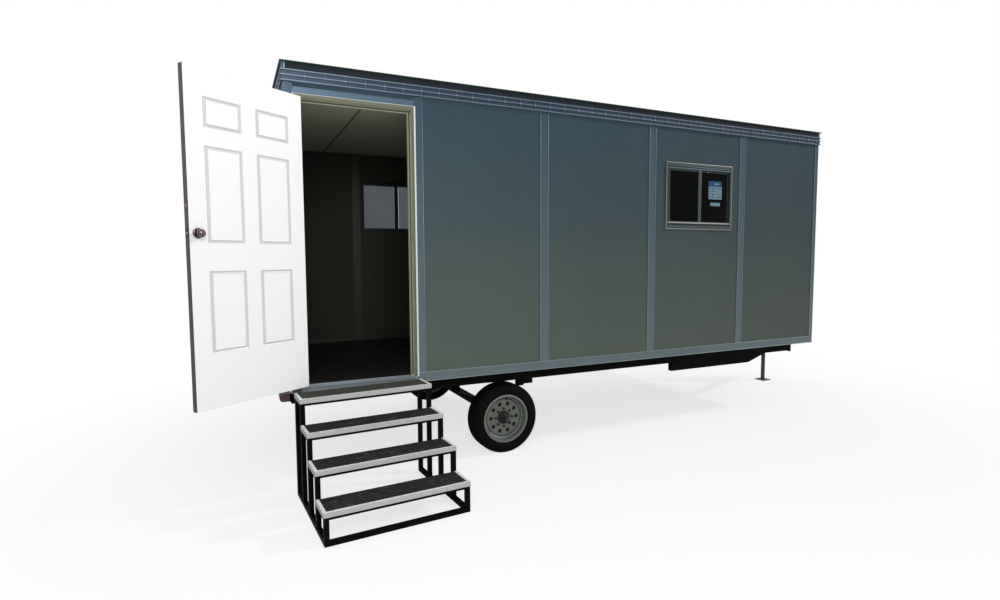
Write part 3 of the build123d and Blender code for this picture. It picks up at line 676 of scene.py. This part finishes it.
def ring_frame(low, high, side, top):
    """A picture frame facing -Y, as wide at its sides and as high at its ends as said."""
    low, high = Vector(low), Vector(high)
    tall = high.z - low.z
    squash = (tall - 2 * top) / (tall - 2 * side)
    return pierced(bar(low, high), 1, side, squash, (low + high) / 2)


def screw_head(radius, sides=10):
    """A domed head with a pressed recess, pointing up."""
    return stepped(
        disc((0, 0, 0), radius, radius * 0.35, sides), looking(2),
        (radius * 0.35, radius * 0.18), (radius * 0.3, 0), (radius * 0.06, -radius * 0.3),
    )


def joined(*pieces):
    hold(*pieces)
    if len(pieces) > 1:
        bpy.ops.object.join()
    return pieces[0]


def copies(model, places):
    """Copies of a modelled piece, each with its own mesh, joined into one."""
    twins = []
    for place in places:
        mesh = model.data.copy()
        mesh.transform(place)
        twin = bpy.data.objects.new(model.name, mesh)
        bpy.context.scene.collection.objects.link(twin)
        twins.append(twin)
    bpy.data.objects.remove(model)
    return joined(*twins)


def facing(spot, out):
    """The matrix that stands an upright piece at a spot, pointing outwards."""
    turn = Vector(out).to_track_quat("Z", "Y").to_matrix().to_4x4()
    return Matrix.Translation(Vector(spot)) @ turn


def traced(points):
    """An outline drawn by extruding one vertex from point to point."""
    hold()
    bpy.ops.mesh.primitive_plane_add(size=0.01, location=points[0])
    piece = settle()
    edit(piece, "VERT")
    bpy.ops.mesh.select_all(action="SELECT")
    bpy.ops.mesh.merge(type="CENTER")
    for start, end in zip(points, points[1:]):
        step = Vector(end) - Vector(start)
        bpy.ops.mesh.extrude_region_move(TRANSFORM_OT_translate={"value": step})
    return leave(piece)


def spun(points, centre, axis, steps):
    """A closed outline spun right round an axis."""
    piece = traced([*points, points[0]])
    edit(piece, "VERT")
    bpy.ops.mesh.select_all(action="SELECT")
    bpy.ops.mesh.spin(steps=steps, angle=math.tau, center=centre, axis=axis, use_auto_merge=True)
    bpy.ops.mesh.select_all(action="SELECT")
    bpy.ops.mesh.remove_doubles(threshold=0.00005)
    outwards()
    return leave(piece)


def with_modifier(piece, kind, **settings):
    """Add a modifier to a piece and apply it."""
    hold(piece)
    modifier = piece.modifiers.new(kind.lower(), kind)
    for name, value in settings.items():
        setattr(modifier, name, value)
    bpy.ops.object.modifier_apply(modifier=modifier.name)
    return piece


def painted(piece, finish):
    """Give a piece one finish all over."""
    piece.data.materials.clear()
    piece.data.materials.append(finish)
    return piece


def finished(piece, name, finish, body="cabin", smooth=35):
    """Name a piece and let it ride on its body; without a finish it keeps those of its parts."""
    piece.name = name
    piece.data.name = name
    if finish is not None:
        painted(piece, finish)
    if smooth:
        hold(piece)
        bpy.ops.object.shade_smooth_by_angle(angle=math.radians(smooth))
    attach(piece, body)
    return piece


# Walls: every wall is dressed as the front one is, then turned to its place

quarter = math.pi / 2
front_wall = Matrix.Translation(corner)
back_wall = Matrix.Translation(at(length, depth, 0)) @ Matrix.Rotation(2 * quarter, 4, "Z")
tow_wall = Matrix.Translation(at(length, 0, 0)) @ Matrix.Rotation(quarter, 4, "Z")
door_wall = Matrix.Translation(at(0, depth, 0)) @ Matrix.Rotation(-quarter, 4, "Z")
walls = (
    (length, front_wall, front_joints),
    (length, back_wall, [length - x for x in back_joints]),
    (depth, tow_wall, [end_joint]),
    (depth, door_wall, [end_joint]),
)
bead = 0.007
rolled = 0.0024
sink = 0.001


def strip_edges():
    """Rounded beads along both edges of every joint strip and corner post."""
    model = bead_bar((-bead / 2, -proud, rail_top), (bead / 2, sink, wall_top), rolled)
    edge = strip_width / 2 - bead / 2
    places = []
    for span, turn, joints in walls:
        lines = [bead, wall - bead, span - wall + bead, span - bead]
        for joint in joints:
            lines += [joint - edge, joint + edge]
        if turn is front_wall:
            lines.append(door_post[1] - bead / 2)
        places += [turn @ Matrix.Translation((x, 0, 0)) for x in lines]
    finished(copies(model, places), "strip_beads", bright)


def rail_edges():
    """The rolled lips along the top and the foot of the bottom rails."""
    parts = []
    for span, turn, _ in walls:
        start = door_post[0] if turn is front_wall else wall
        for low in (wall_foot, rail_top - bead):
            piece = bead_bar((start, -proud, low), (span - wall, sink, low + bead), rolled)
            piece.data.transform(turn)
            parts.append(piece)
    finished(joined(*parts), "rail_lips", bright)


def ladder_ticks():
    """Short uprights between the ribs of the edge trim, with a screw on each."""
    pitch, end, gap = 0.15, 0.012, 0.002
    half, front, back = 0.0035, -0.0138, -0.006
    tick = bead_bar((-half, front, wall_top + gap), (half, back, roof_top - gap), 0.002)
    ticks = []
    screws = []
    for span, turn, _ in walls:
        xs = [end, *[pitch * (i + 1) for i in range(int(span / pitch - 0.3))], span - end]
        for number, x in enumerate(xs):
            ticks.append(turn @ Matrix.Translation((x, 0, 0)))
            heights = [(wall_top + roof_top) / 2]
            if number % 3 == 0:
                heights.append(roof_top - 0.0045)
            spots = [(x, front - 0.0012, height) for height in heights]
            screws += [turn @ facing(spot, (0, -1, 0)) for spot in spots]
    finished(copies(tick, ticks), "ladder_ticks", ladder_rib)
    finished(copies(screw_head(0.0042, 8), screws), "ladder_screws", zinc)


def header_beads():
    """Fine pale beads over the doorway, above and below the head panel."""
    tall, front = 0.004, -0.0025
    parts = []
    for low in (3.052, 3.0855):
        piece = bead_bar((wall, front, low), (door_post[0], sink, low + tall), 0.0012)
        piece.data.transform(front_wall)
        parts.append(piece)
    finished(joined(*parts), "header_beads", bright)


def fascia_clips():
    """A pale folded clip near each corner of the fascia."""
    half, front, back, end = 0.008, -0.0085, -0.004, 0.011
    model = bead_bar((-half, front, roof_top + 0.003), (half, back, cap_face - 0.002), 0.002)
    places = []
    for span, turn, _ in walls:
        places += [turn @ Matrix.Translation((x, 0, 0)) for x in (end, span - end)]
    finished(copies(model, places), "fascia_clips", bright)


def roof_laps():
    """Welded laps across the roof covering, over the joints of its panels."""
    first, count = 0.625, 5
    half, edge, rise = 0.045, 0.06, 0.0042
    lap = bar((-half, edge, cap_face - sink), (half, depth - edge, cap_face + rise))
    rounded(lap, 0.004, 2, top_edge(cap_face + rise))
    pitch = (length - 2 * first) / (count - 1)
    places = [Matrix.Translation(at(first + pitch * i, 0, 0)) for i in range(count)]
    finished(copies(lap, places), "roof_laps", roofing)


def roof_sealant():
    """A bead of sealant round the roof covering."""
    edge, width, rise = 0.046, 0.012, 0.005
    low = at(edge, edge, cap_face - sink)
    high = at(length - edge, depth - edge, cap_face + rise)
    ring = pierced(bar(low, high), 2, width)
    rounded(ring, 0.003, 2, top_edge(cap_face + rise))
    finished(ring, "roof_sealant", roofing)


# Windows

flange_side, flange_top, flange_face = 0.027, 0.040, -0.005
sash_side, sash_top, sash_thick = 0.0215, 0.0355, 0.0098
outer_sash, inner_sash = -0.001, 0.009
play = 0.0005


def window_flange(left, right, low, high):
    """The flange on the wall with its two lips, and the sleeve through the wall, made dark as painted
    shade in the channel.
    """
    flange = ring_frame(
        (left, flange_face, low), (right, proud, high), flange_side, flange_top,
    )
    parts = [painted(rounded(flange, 0.0015, 2, front_edge(flange_face)), window_metal)]
    for inset, width, front, finish in (
        (0.0, 0.005, -0.0085, pale_edge), (0.024, 0.004, -0.0075, window_metal),
    ):
        drop = inset * 1.5
        lip = ring_frame(
            (left + inset, front, low + drop), (right - inset, flange_face + sink, high - drop),
            width, width,
        )
        parts.append(painted(rounded(lip, 0.0012, 2, front_edge(front)), finish))
    side, top, sheet_thick = flange_side + play, flange_top + play, 0.0035
    sleeve = ring_frame(
        (left + side, -sink, low + top), (right - side, wall - play, high - top),
        sheet_thick, sheet_thick,
    )
    # The sleeve's dark finish is painted shade in the channel.
    parts.append(painted(sleeve, joint_and_shade_strip))
    return parts


def window_fixings(left, right, low, high):
    """Drain slots at the foot of the flange, drawn as dark bars of painted shade, and screws round it.
    """
    parts = []
    for x in (left + 0.09, right - 0.09):
        # Each slot is a dark bar: painted shade where the opening is.
        slot = bead_bar((x, -0.0088, low + 0.012), (x + 0.022, -0.004, low + 0.018), 0.001)
        parts.append(painted(slot, joint_and_shade_strip))
    spots = [
        (x, flange_face, z) for x in (left + 0.014, (left + right) / 2, right - 0.014)
        for z in (low + 0.020, high - 0.020)
    ]
    screws = copies(screw_head(0.006), [facing(spot, (0, -1, 0)) for spot in spots])
    parts.append(painted(screws, joint_and_shade_strip))
    return parts


def window_sashes(left, right, low, high, fronts):
    """Two sashes with gaskets that meet in the middle, each at its own depth."""
    side, drop, lap = 0.031, 0.044, 0.0015
    middle = (left + right) / 2
    foot, head = low + drop, high - drop
    parts = []
    for (x0, x1), y in zip(((left + side, middle + lap), (middle - lap, right - side)), fronts):
        sash = ring_frame((x0, y, foot), (x1, y + sash_thick, head), sash_side, sash_top)
        parts.append(painted(rounded(sash, 0.0012, 2, front_edge(y)), sash_metal))
        rim_side, rim_top, rubber_thick = sash_side - 0.0013, sash_top - 0.0013, 0.004
        gasket = ring_frame(
            (x0 + rim_side, y + 0.0004, foot + rim_top), (x1 - rim_side, y + 0.0032, head - rim_top),
            rubber_thick, rubber_thick,
        )
        parts.append(painted(gasket, joint_and_shade_strip))
    return parts


def window_tracks(left, right, low, high):
    """The tracks at foot and head with dark strips of painted shade beside the flange, the stile over
    the middle and the latch beside it.
    """
    side, foot, head = 0.028, 0.073, 0.060
    edge = flange_top + play
    back = outer_sash + sink
    parts = []
    # The dark strips beside the flange, at foot and head, are painted shade in the grooves.
    for z0, z1, reach, finish in (
        (low + edge, low + 0.061, 0.0008, joint_and_shade_strip), (low + 0.061, low + foot, 0.005, pale_edge),
        (high - head, high - 0.049, 0.005, bright), (high - 0.049, high - edge, 0.0008, joint_and_shade_strip),
    ):
        track = bead_bar(
            (left + side, outer_sash - reach, z0), (right - side, back, z1), 0.0006,
        )
        parts.append(painted(track, finish))
    middle, half = (left + right) / 2, 0.0205
    stile = bead_bar(
        (middle - half, outer_sash - 0.003, low + foot), (middle + half, back, high - head), 0.002,
    )
    parts.append(painted(stile, window_metal))
    latch = bead_bar(
        (middle + 0.100, outer_sash - 0.006, high - 0.086),
        (middle + 0.118, outer_sash + 0.004, high - 0.074), 0.003,
    )
    parts.append(painted(latch, bright))
    return parts


def windows():
    """Both slider windows in place of their plain frames."""
    back_left = length - back_window_left - window_wide
    parts = []
    for left, turn, fronts in (
        (window_left, front_wall, (outer_sash, inner_sash)),
        (back_left, back_wall, (inner_sash, outer_sash)),
    ):
        hole = (left, left + window_wide, window_low, window_low + window_high)
        one = [
            *window_flange(*hole), *window_sashes(*hole, fronts), *window_tracks(*hole),
            *window_fixings(*hole),
        ]
        for piece in one:
            piece.data.transform(turn)
        parts += one
    whole = finished(joined(*parts), "slider_windows", None)
    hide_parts("window_frames")


def pane_labels():
    """Plain stickers on the right-hand pane: a blue band, a pale card with bars, a strip."""
    left, face, foot = 4.199, 0.0112, 2.327
    thick, raised = 0.0006, 0.0007
    parts = []

    def card(x0, x1, z0, z1, finish, lift=0.0):
        piece = rounded(bar((x0, -thick - lift, z0), (x1, -lift, z1)), 0.0002, 1)
        parts.append(painted(piece, finish))

    card(0.000, 0.190, 0.203, 0.259, label_blue)
    card(0.002, 0.190, 0.070, 0.2025, label_pale)
    card(0.030, 0.168, 0.000, 0.034, label_pale)
    for row in range(4):
        z = 0.088 + 0.029 * row
        card(0.013, 0.027, z, z + 0.010, label_blue, raised)
        card(0.042, 0.080 + 0.012 * (row % 2), z, z + 0.009, label_ink, raised)
        card(0.112, 0.176 - 0.014 * (row % 3), z + 0.001, z + 0.007, label_ink, raised)
    card(0.080, 0.152, 0.222, 0.240, label_pale, raised)
    whole = joined(*parts)
    whole.data.transform(front_wall @ Matrix.Translation((left, face, foot)))
    finished(whole, "pane_labels", None, smooth=0)


# Door: modelled shut, then swung open with the leaf

swing = (
    Matrix.Translation(corner + pin) @ Matrix.Rotation(-door_open, 4, "Z") @ Matrix.Translation(-pin)
)
knob_spot = (leaf_right - 0.054, leaf_low + 1.125)
leaf_faces = ((leaf_front, -1), (leaf_back, 1))


def door_edge():
    """The steel band along the latch edge, with the latch and its two plates."""
    lap = 0.001
    face = leaf_right + 0.0008
    band = bar(
        (leaf_right - 0.0002, leaf_front + lap, leaf_low + lap),
        (face, leaf_back - lap, leaf_high - lap),
    )
    rounded(band, 0.0003, 1)
    band.data.transform(swing)
    finished(band, "door_edge_band", edge_steel, "door")
    middle, half_plate, half_bolt = 0.0065, 0.013, 0.006
    bolt_end = face + 0.0022
    parts = []
    for z, half, finish in ((knob_spot[1], 0.029, grime), (knob_spot[1] + 0.17, 0.022, brass)):
        plate = bar(
            (face - 0.0002, middle - half_plate, z - half),
            (face + 0.0014, middle + half_plate, z + half),
        )
        stepped(plate, looking(0), (0.006, 0), (0.0008, -0.0009))
        bolt = bar((face, middle - half_bolt, z - 0.009), (bolt_end, middle + half_bolt, z + 0.009))
        rounded(bolt, 0.0010, 2, lambda place, edge: place.x > bolt_end - 0.0002)
        heights = (z - half + 0.006, z + half - 0.006)
        screws = [facing((face, middle, height), (1, 0, 0)) for height in heights]
        heads = copies(screw_head(0.0035), screws)
        parts += [painted(plate, finish), painted(bolt, zinc), painted(heads, zinc)]
    whole = joined(*parts)
    whole.data.transform(swing)
    finished(whole, "door_latch_plates", None, "door", 0)


def knob_rings():
    """Stepped collars on the roses and a key cylinder on each knob."""
    x, z = knob_spot
    knob_end = 0.0612
    outline = [
        (0.026, 0.0068), (0.0325, 0.0068), (0.0315, 0.0105), (0.0285, 0.0120), (0.0260, 0.0105),
    ]
    parts = []
    for face, out in leaf_faces:
        points = [(x + r, face + out * y, z) for r, y in outline]
        collar = spun(points, (x, face, z), (0, 1, 0), 40)
        cylinder = disc((0, 0, 0), 0.0105, 0.0022, 24)
        stepped(cylinder, looking(2), (0.0025, 0.0006), (0.0045, -0.0004))
        cylinder.data.transform(facing((x, face + out * knob_end, z), (0, out, 0)))
        parts += [collar, cylinder]
    whole = joined(*parts)
    whole.data.transform(swing)
    finished(whole, "knob_collars", dark_chrome, "door")


def hinge_screws():
    """Three screws in each hinge plate, on the leaf's edge and on the jamb."""
    end, plate, buried = 0.19, 0.0025, 0.0018
    span = leaf_high - leaf_low - 2 * end
    heights = [leaf_low + end + span * i / 2 for i in range(3)]
    spots = [
        (leaf_front + y, z + dz) for z in heights
        for y, dz in ((0.012, -0.034), (0.024, 0.0), (0.012, 0.034))
    ]
    leaf_x = leaf_left - plate + buried
    moving = copies(screw_head(0.0042), [facing((leaf_x, y, z), (-1, 0, 0)) for y, z in spots])
    moving.data.transform(swing)
    finished(moving, "hinge_leaf_screws", zinc, "door")
    jamb_x = frame_left + plate - buried
    fixed = copies(screw_head(0.0042), [facing((jamb_x, y, z), (1, 0, 0)) for y, z in spots])
    fixed.data.transform(front_wall)
    finished(fixed, "hinge_jamb_screws", zinc)


def door_fields():
    """A fine bead round the raised middle of the six fields, on both faces of the leaf."""
    stile, mullion, top_rail = 0.118, 0.108, 0.172
    inset, width, rise = 0.0205, 0.004, 0.0012
    wide = (leaf_right - leaf_left - 2 * stile - mullion) / 2
    top = leaf_high - top_rail
    parts = []
    for tall, below in ((0.190, 0.112), (0.610, 0.176), (0.530, 0.0)):
        for x in (leaf_left + stile, leaf_right - stile - wide):
            for face, out in leaf_faces:
                crest = face + out * rise
                y0, y1 = sorted((face - out * 0.0005, crest))
                ring = ring_frame(
                    (x + inset, y0, top - tall + inset), (x + wide - inset, y1, top - inset),
                    width, width,
                )
                rounded(ring, 0.0009, 2, lambda middle, edge: abs(middle.y - crest) < 1e-4)
                parts.append(ring)
        top -= tall + below
    whole = joined(*parts)
    whole.data.transform(swing)
    finished(whole, "door_field_beads", white, "door", 50)


# Doorway


def door_seal():
    """A soft seal on the stop, up both sides and across the head."""
    front, back = 0.0297, 0.0312
    gap, edge = 0.004, 0.018
    parts = [
        bead_bar((x, front, frame_low + 0.012), (x + edge - gap, back, frame_head - gap), 0.0006)
        for x in (frame_left + gap, frame_right - edge)
    ]
    top = bead_bar(
        (frame_left + edge, front, frame_head - edge), (frame_right - edge, back, frame_head - gap),
        0.0006,
    )
    seal = joined(*parts, top)
    seal.data.transform(front_wall)
    finished(seal, "door_seal", seal_strip)


def strike_plate():
    """The strike in the latch jamb, level with the knobs."""
    z = knob_spot[1]
    strike = bar((frame_right - 0.0010, -0.010, z - 0.035), (frame_right + 0.0004, 0.020, z + 0.035))
    stepped(strike, looking(0, -1), (0.008, 0), (0.0005, -0.0010))
    spots = [(frame_right + 0.0006, 0.005, z + drop) for drop in (-0.030, 0.030)]
    heads = copies(screw_head(0.0035), [facing(spot, (-1, 0, 0)) for spot in spots])
    plate = joined(strike, heads)
    plate.data.transform(front_wall)
    finished(plate, "strike_plate", zinc)


def sill_ribs():
    """Six ribs along the sill."""
    end, pitch, first = 0.024, 0.007, -0.016
    rib = bead_bar(
        (frame_left + end, -sink, 0), (frame_right - end, sink, 0.002), 0.0006,
    )
    rows = [front_wall @ Matrix.Translation((0, first + pitch * i, frame_low)) for i in range(6)]
    finished(copies(rib, rows), "sill_ribs", bright)


def drip_bead():
    """A bead over the head of the frame that throws rain clear."""
    low = frame_head + 0.029
    drip = bead_bar((0.052, -0.019, low), (door_post[0] + 0.012, 0.0, low + 0.004), 0.0015)
    drip.data.transform(front_wall)
    finished(drip, "head_drip_bead", bright)


# Chassis


def stitch_welds():
    """Short welds along the lapped beams."""
    face, first, pitch, count = 0.127, 3.95, 0.20, 7
    half, leg = 0.035, 0.0035
    weld = bar((-half, -leg, -leg), (half, leg, leg))
    edit(weld)
    bpy.ops.mesh.select_all(action="SELECT")
    bpy.ops.mesh.subdivide(number_cuts=3)
    leave(weld)
    with_modifier(weld, "SUBSURF", levels=1, render_levels=1)
    spots = [
        Matrix.Translation(at(first + pitch * i, y, wall_foot - 0.100))
        for y in (face, depth - face) for i in range(count)
    ]
    finished(copies(weld, spots), "stitch_welds", black_paint, smooth=60)


def axle_clamps():
    """U-bolts and clamp plates that hold the springs on the axle."""
    half_axle, spring_gap, spring_pack = 0.032, 0.070, 0.034
    pack_top = wheel.z + half_axle + spring_gap + spring_pack
    foot = wheel.z - half_axle
    leg_foot, leg_top = foot - 0.030, pack_top + 0.022
    thick = 0.012
    parts = []
    for middle_y in (0.455, depth - 0.455):
        for x in (wheel.x - 0.042, wheel.x + 0.042):
            for y in (middle_y - 0.031, middle_y + 0.031):
                leg = disc(at(x, y, leg_foot), 0.006, leg_top - leg_foot, 14)
                parts.append(rounded(leg, 0.002, 2, top_edge(leg_top)))
        for z in (foot - thick, pack_top):
            low = at(wheel.x - 0.060, middle_y - 0.045, z)
            high = at(wheel.x + 0.060, middle_y + 0.045, z + thick)
            parts.append(rounded(bar(low, high), 0.003, 2))
    finished(joined(*parts), "axle_clamps", iron)


# Wheels


def tyre(tag, middle_y, body):
    """A treaded tyre: its section is spun round, then cross grooves are pressed into the tread."""
    side = [
        (0.2045, 0.0768), (0.2247, 0.0768), (0.2295, 0.0828), (0.2355, 0.0866), (0.2385, 0.0868),
        (0.2395, 0.0888), (0.2435, 0.0892), (0.2447, 0.0882), (0.2605, 0.0920), (0.2790, 0.0903),
        (0.2850, 0.0885), (0.2860, 0.0899), (0.2890, 0.0892), (0.2900, 0.0868), (0.3000, 0.0836),
        (0.3100, 0.0775), (0.3165, 0.0715), (0.3190, 0.0655), (0.3196, 0.0432), (0.3122, 0.0422),
        (0.3122, 0.0348), (0.3198, 0.0338), (0.3199, 0.0058), (0.3126, 0.0048),
    ]
    tread_radius, centre_rib, groove_depth = 0.3168, 0.0335, 0.0055
    centre = at(wheel.x, middle_y, wheel.z)
    outline = side + [(r, -w) for r, w in reversed(side)]
    steps = 216
    piece = spun([centre + Vector((r, w, 0)) for r, w in outline], centre, (0, 1, 0), steps)

    def groove(middle, face):
        away = middle - centre
        if math.hypot(away.x, away.z) < tread_radius or abs(face.normal.y) > 0.8:
            return False
        shift = 2 if 0 < away.y < centre_rib else 0
        slot = int(math.degrees(math.atan2(away.z, away.x)) % 360 / 360 * steps)
        return (slot + shift) % 4 == 0

    edit(piece)
    pick(piece, groove)
    bpy.ops.mesh.extrude_region_shrink_fatten(
        TRANSFORM_OT_shrink_fatten={"value": -groove_depth, "use_even_offset": False},
    )
    leave(piece)
    finished(piece, "treaded_tyre_" + tag, rubber, body, 28)
    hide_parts("tyre_" + tag)


def wheel_dressing(tag, lip_y, out, body):
    """Weld seam round the disc, sloping band, rounded rim lip, hub nose and valve."""
    centre = at(wheel.x, lip_y, wheel.z)

    def inward(radius, reach):
        """A place at a radius, so far inwards of the rim's lip."""
        return centre + Vector((radius, -out * reach, 0))

    seam = ((0.1680, 0.0535), (0.1750, 0.0520), (0.1750, 0.0555), (0.1680, 0.0555))
    slope = ((0.1745, 0.0530), (0.1968, 0.0380), (0.1968, 0.0555), (0.1745, 0.0555))
    lip = (
        (0.2150, -0.0004), (0.2195, 0.0006), (0.2205, 0.0030), (0.2195, 0.0052), (0.2150, 0.0030),
    )
    for name, outline, finish in (
        ("rim_seam_", seam, grime), ("rim_slope_", slope, dull_rim), ("rim_lip_", lip, bright_rim),
    ):
        ring = spun([inward(*point) for point in outline], centre, (0, 1, 0), 96)
        finished(ring, name + tag, finish, body, 60)
    reach = 0.045
    nose = rounded(disc((0, 0, 0), 0.021, reach, 28), 0.003, 2, top_edge(reach))
    nose.data.transform(facing(inward(0, 0.009), (0, out, 0)))
    finished(nose, "hub_nose_" + tag, iron, body)
    stem = disc((0, 0, -0.02), 0.0055, 0.045, 14)
    stepped(stem, looking(2), (0.0018, 0.004), (0.0010, 0.006))
    spot = inward(0.020, 0.050) + Vector((0, 0, 0.182))
    stem.data.transform(facing(spot, Vector((-0.05, out, -0.35))))
    finished(stem, "valve_stem_" + tag, rubber, body, 60)


# Entry steps

steps_wide = 1.013
tread_deep = 0.233
first_tread, last_tread = 0.220, 0.782
tread_tops = [first_tread + (last_tread - first_tread) / 3 * i for i in range(4)]
tread_fronts = [0.230 * (3 - i) + tread_deep for i in range(4)]
steps_spot = (
    Matrix.Translation(at(steps_wide, -0.0003, 0)) @ Matrix.Rotation(math.radians(4.1), 4, "Z")
    @ Matrix.Translation((-steps_wide, 0, 0))
)


def step_mats():
    """Rough mats laid in the treads: a fine grid, rumpled and given its thickness."""
    nosing_edge, back_gap, lowered = 0.022, 0.002, 0.0008
    wide = steps_wide - 2 * nosing_edge
    deep = tread_deep - nosing_edge - back_gap
    rumple = bpy.data.textures.new("mat_rumple", "CLOUDS")
    rumple.noise_scale = 0.035
    rumple.noise_depth = 4
    parts = []
    for top, front in zip(tread_tops, tread_fronts):
        hold()
        middle = Vector((steps_wide / 2, -front + nosing_edge + deep / 2, top - lowered))
        bpy.ops.mesh.primitive_grid_add(
            x_subdivisions=150, y_subdivisions=34, size=1, location=middle,
        )
        bpy.context.object.scale = (wide, deep, 1)
        mat = settle()
        with_modifier(
            mat, "DISPLACE", texture=rumple, strength=0.0030, mid_level=0.5,
            texture_coords="LOCAL", direction="Z",
        )
        with_modifier(mat, "SOLIDIFY", thickness=0.0025, offset=-1)
        parts.append(mat)
    whole = joined(*parts)
    whole.data.transform(steps_spot)
    finished(whole, "step_mats", mat_board, smooth=80)


def step_hardware():
    """Screws along the nosings and weld beads where the tubes meet."""
    end, pitch, count = 0.06, 0.223, 5
    screws = [
        steps_spot @ facing((end + pitch * i, -front + 0.010, top - 0.0004), (0, 0, 1))
        for top, front in zip(tread_tops, tread_fronts) for i in range(count)
    ]
    finished(copies(screw_head(0.0042), screws), "nosing_screws", zinc)
    half, leg = 0.016, 0.003
    half_tube, front_inset, back_inset, foot, drop = 0.019, 0.003, 0.035, 0.032, 0.050
    weld = rounded(bar((-half, -leg, -leg), (half, leg, leg)), 0.0022, 2)
    places = []
    for top, front in zip(tread_tops, tread_fronts):
        for x in (half_tube, steps_wide - half_tube):
            for inset, z in ((front_inset, foot), (back_inset, foot), (back_inset, top - drop)):
                places.append(steps_spot @ Matrix.Translation((x, inset - front, z)))
    finished(copies(weld, places), "step_welds", black_paint, smooth=60)


def lamp_dressing():
    """A base flange and two screws on each rear lamp."""
    low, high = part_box("rear_lamps")
    wide, thick, edge = 0.120, 0.010, 0.012
    parts = []
    heads = []
    for y in (low.y, high.y - wide):
        base = bar(
            (high.x - thick, y - 0.004, low.z - 0.003),
            (high.x - 0.0002, y + wide + 0.004, high.z + 0.003),
        )
        parts.append(rounded(base, 0.002, 2))
        for spot in (y + edge, y + wide - edge):
            heads.append(facing((low.x + 0.0002, spot, high.z - 0.016), (-1, 0, 0)))
    finished(joined(*parts), "lamp_bases", black_paint)
    finished(copies(screw_head(0.0040), heads), "lamp_screws", zinc)


strip_edges()
rail_edges()
ladder_ticks()
header_beads()
fascia_clips()
roof_laps()
roof_sealant()
windows()
pane_labels()
door_edge()
knob_rings()
hinge_screws()
door_fields()
door_seal()
strike_plate()
sill_ribs()
drip_bead()
stitch_welds()
axle_clamps()
tyre("near", tyre_middle, "wheel_near")
tyre("far", depth - tyre_middle, "wheel_far")
wheel_dressing("near", wheel.y, -1, "wheel_near")
wheel_dressing("far", depth - wheel.y, 1, "wheel_far")
step_mats()
step_hardware()
lamp_dressing()


# Camera and light


def place_camera():
    """The photograph's viewpoint: near the door end, a little under eye height."""
    data = bpy.data.cameras.new("camera")
    data.sensor_width = 36
    data.lens = 20.416
    camera = bpy.data.objects.new("camera", data)
    bpy.context.scene.collection.objects.link(camera)
    right = Vector((0.90356, -0.42849, -0.00476))
    up = Vector((0.03597, 0.06479, 0.99725))
    backwards = Vector((-0.42700, -0.90123, 0.07395))
    turn = Matrix((right, up, backwards)).transposed().to_4x4()
    camera.matrix_world = Matrix.Translation(posts_low + Vector((-0.39245, -4.52085, 1.03135))) @ turn
    bpy.context.scene.camera = camera


def studio_world():
    """A white world, dimmer where it lights a dull surface than where it is seen or mirrored."""
    world = bpy.data.worlds.new("studio")
    bpy.context.scene.world = world
    world.use_nodes = True
    graph = Graph(world.node_tree)
    path = graph.add("ShaderNodeLightPath").outputs
    seen = graph.math("MAXIMUM", path["Is Camera Ray"], path["Is Transmission Ray"])
    seen = graph.math("MAXIMUM", seen, path["Is Glossy Ray"])
    background = world.node_tree.nodes["Background"]
    graph.put(background.inputs["Strength"], graph.span(seen, 0.0, 1.0, 0.52, 1.0))
    graph.put(background.inputs["Color"], (1, 1, 1, 1))


def studio_lamp(name, spot, aim, size, power):
    """A round lamp at a spot, turned to where it aims."""
    data = bpy.data.lights.new(name, "AREA")
    data.shape = "DISK"
    data.size = size
    data.energy = power
    lamp = bpy.data.objects.new(name, data)
    bpy.context.scene.collection.objects.link(lamp)
    lamp.matrix_world = facing(spot, Vector(spot) - Vector(aim))


def studio_floor():
    """A pale floor that keeps the shadow near the cabin and fades to white further out."""
    hold()
    bpy.ops.mesh.primitive_plane_add(size=160, location=(0, 0, 0))
    floor = bpy.context.object
    floor.name = "studio_floor"
    paint = Finish("studio_floor", (0.86, 0.86, 0.86, 1), 0.9, specular=0.0)
    reach = paint.add("ShaderNodeVectorMath")
    reach.operation = "LENGTH"
    paint.put(reach.inputs[0], paint.place)
    fade = paint.span(reach.outputs["Value"], 2.6, 6.5, 0.72, 1.0, smooth=True)
    camera_ray = paint.add("ShaderNodeLightPath").outputs["Is Camera Ray"]
    mixer = paint.add("ShaderNodeMixShader")
    paint.put(mixer.inputs[0], paint.math("MULTIPLY", fade, camera_ray))
    paint.put(mixer.inputs[1], paint.shader.outputs[0])
    paint.put(mixer.inputs[2], paint.add("ShaderNodeEmission").outputs[0])
    paint.put(paint.tree.nodes["Material Output"].inputs["Surface"], mixer.outputs[0])
    floor.data.materials.append(paint.done())


bpy.context.scene.view_settings.view_transform = "Standard"
place_camera()
studio_world()
studio_lamp("key", (22.5, -7.5, 16.5), (-1.0, 0.0, 1.8), 3.0, 3900.0)
studio_lamp("fill", (-3.5, -6.0, 3.8), (1.5, 0.0, 1.7), 3.0, 190.0)
studio_lamp("rear", (-2.0, 9.0, 6.0), (0.5, 0.0, 1.5), 5.0, 200.0)
studio_floor()
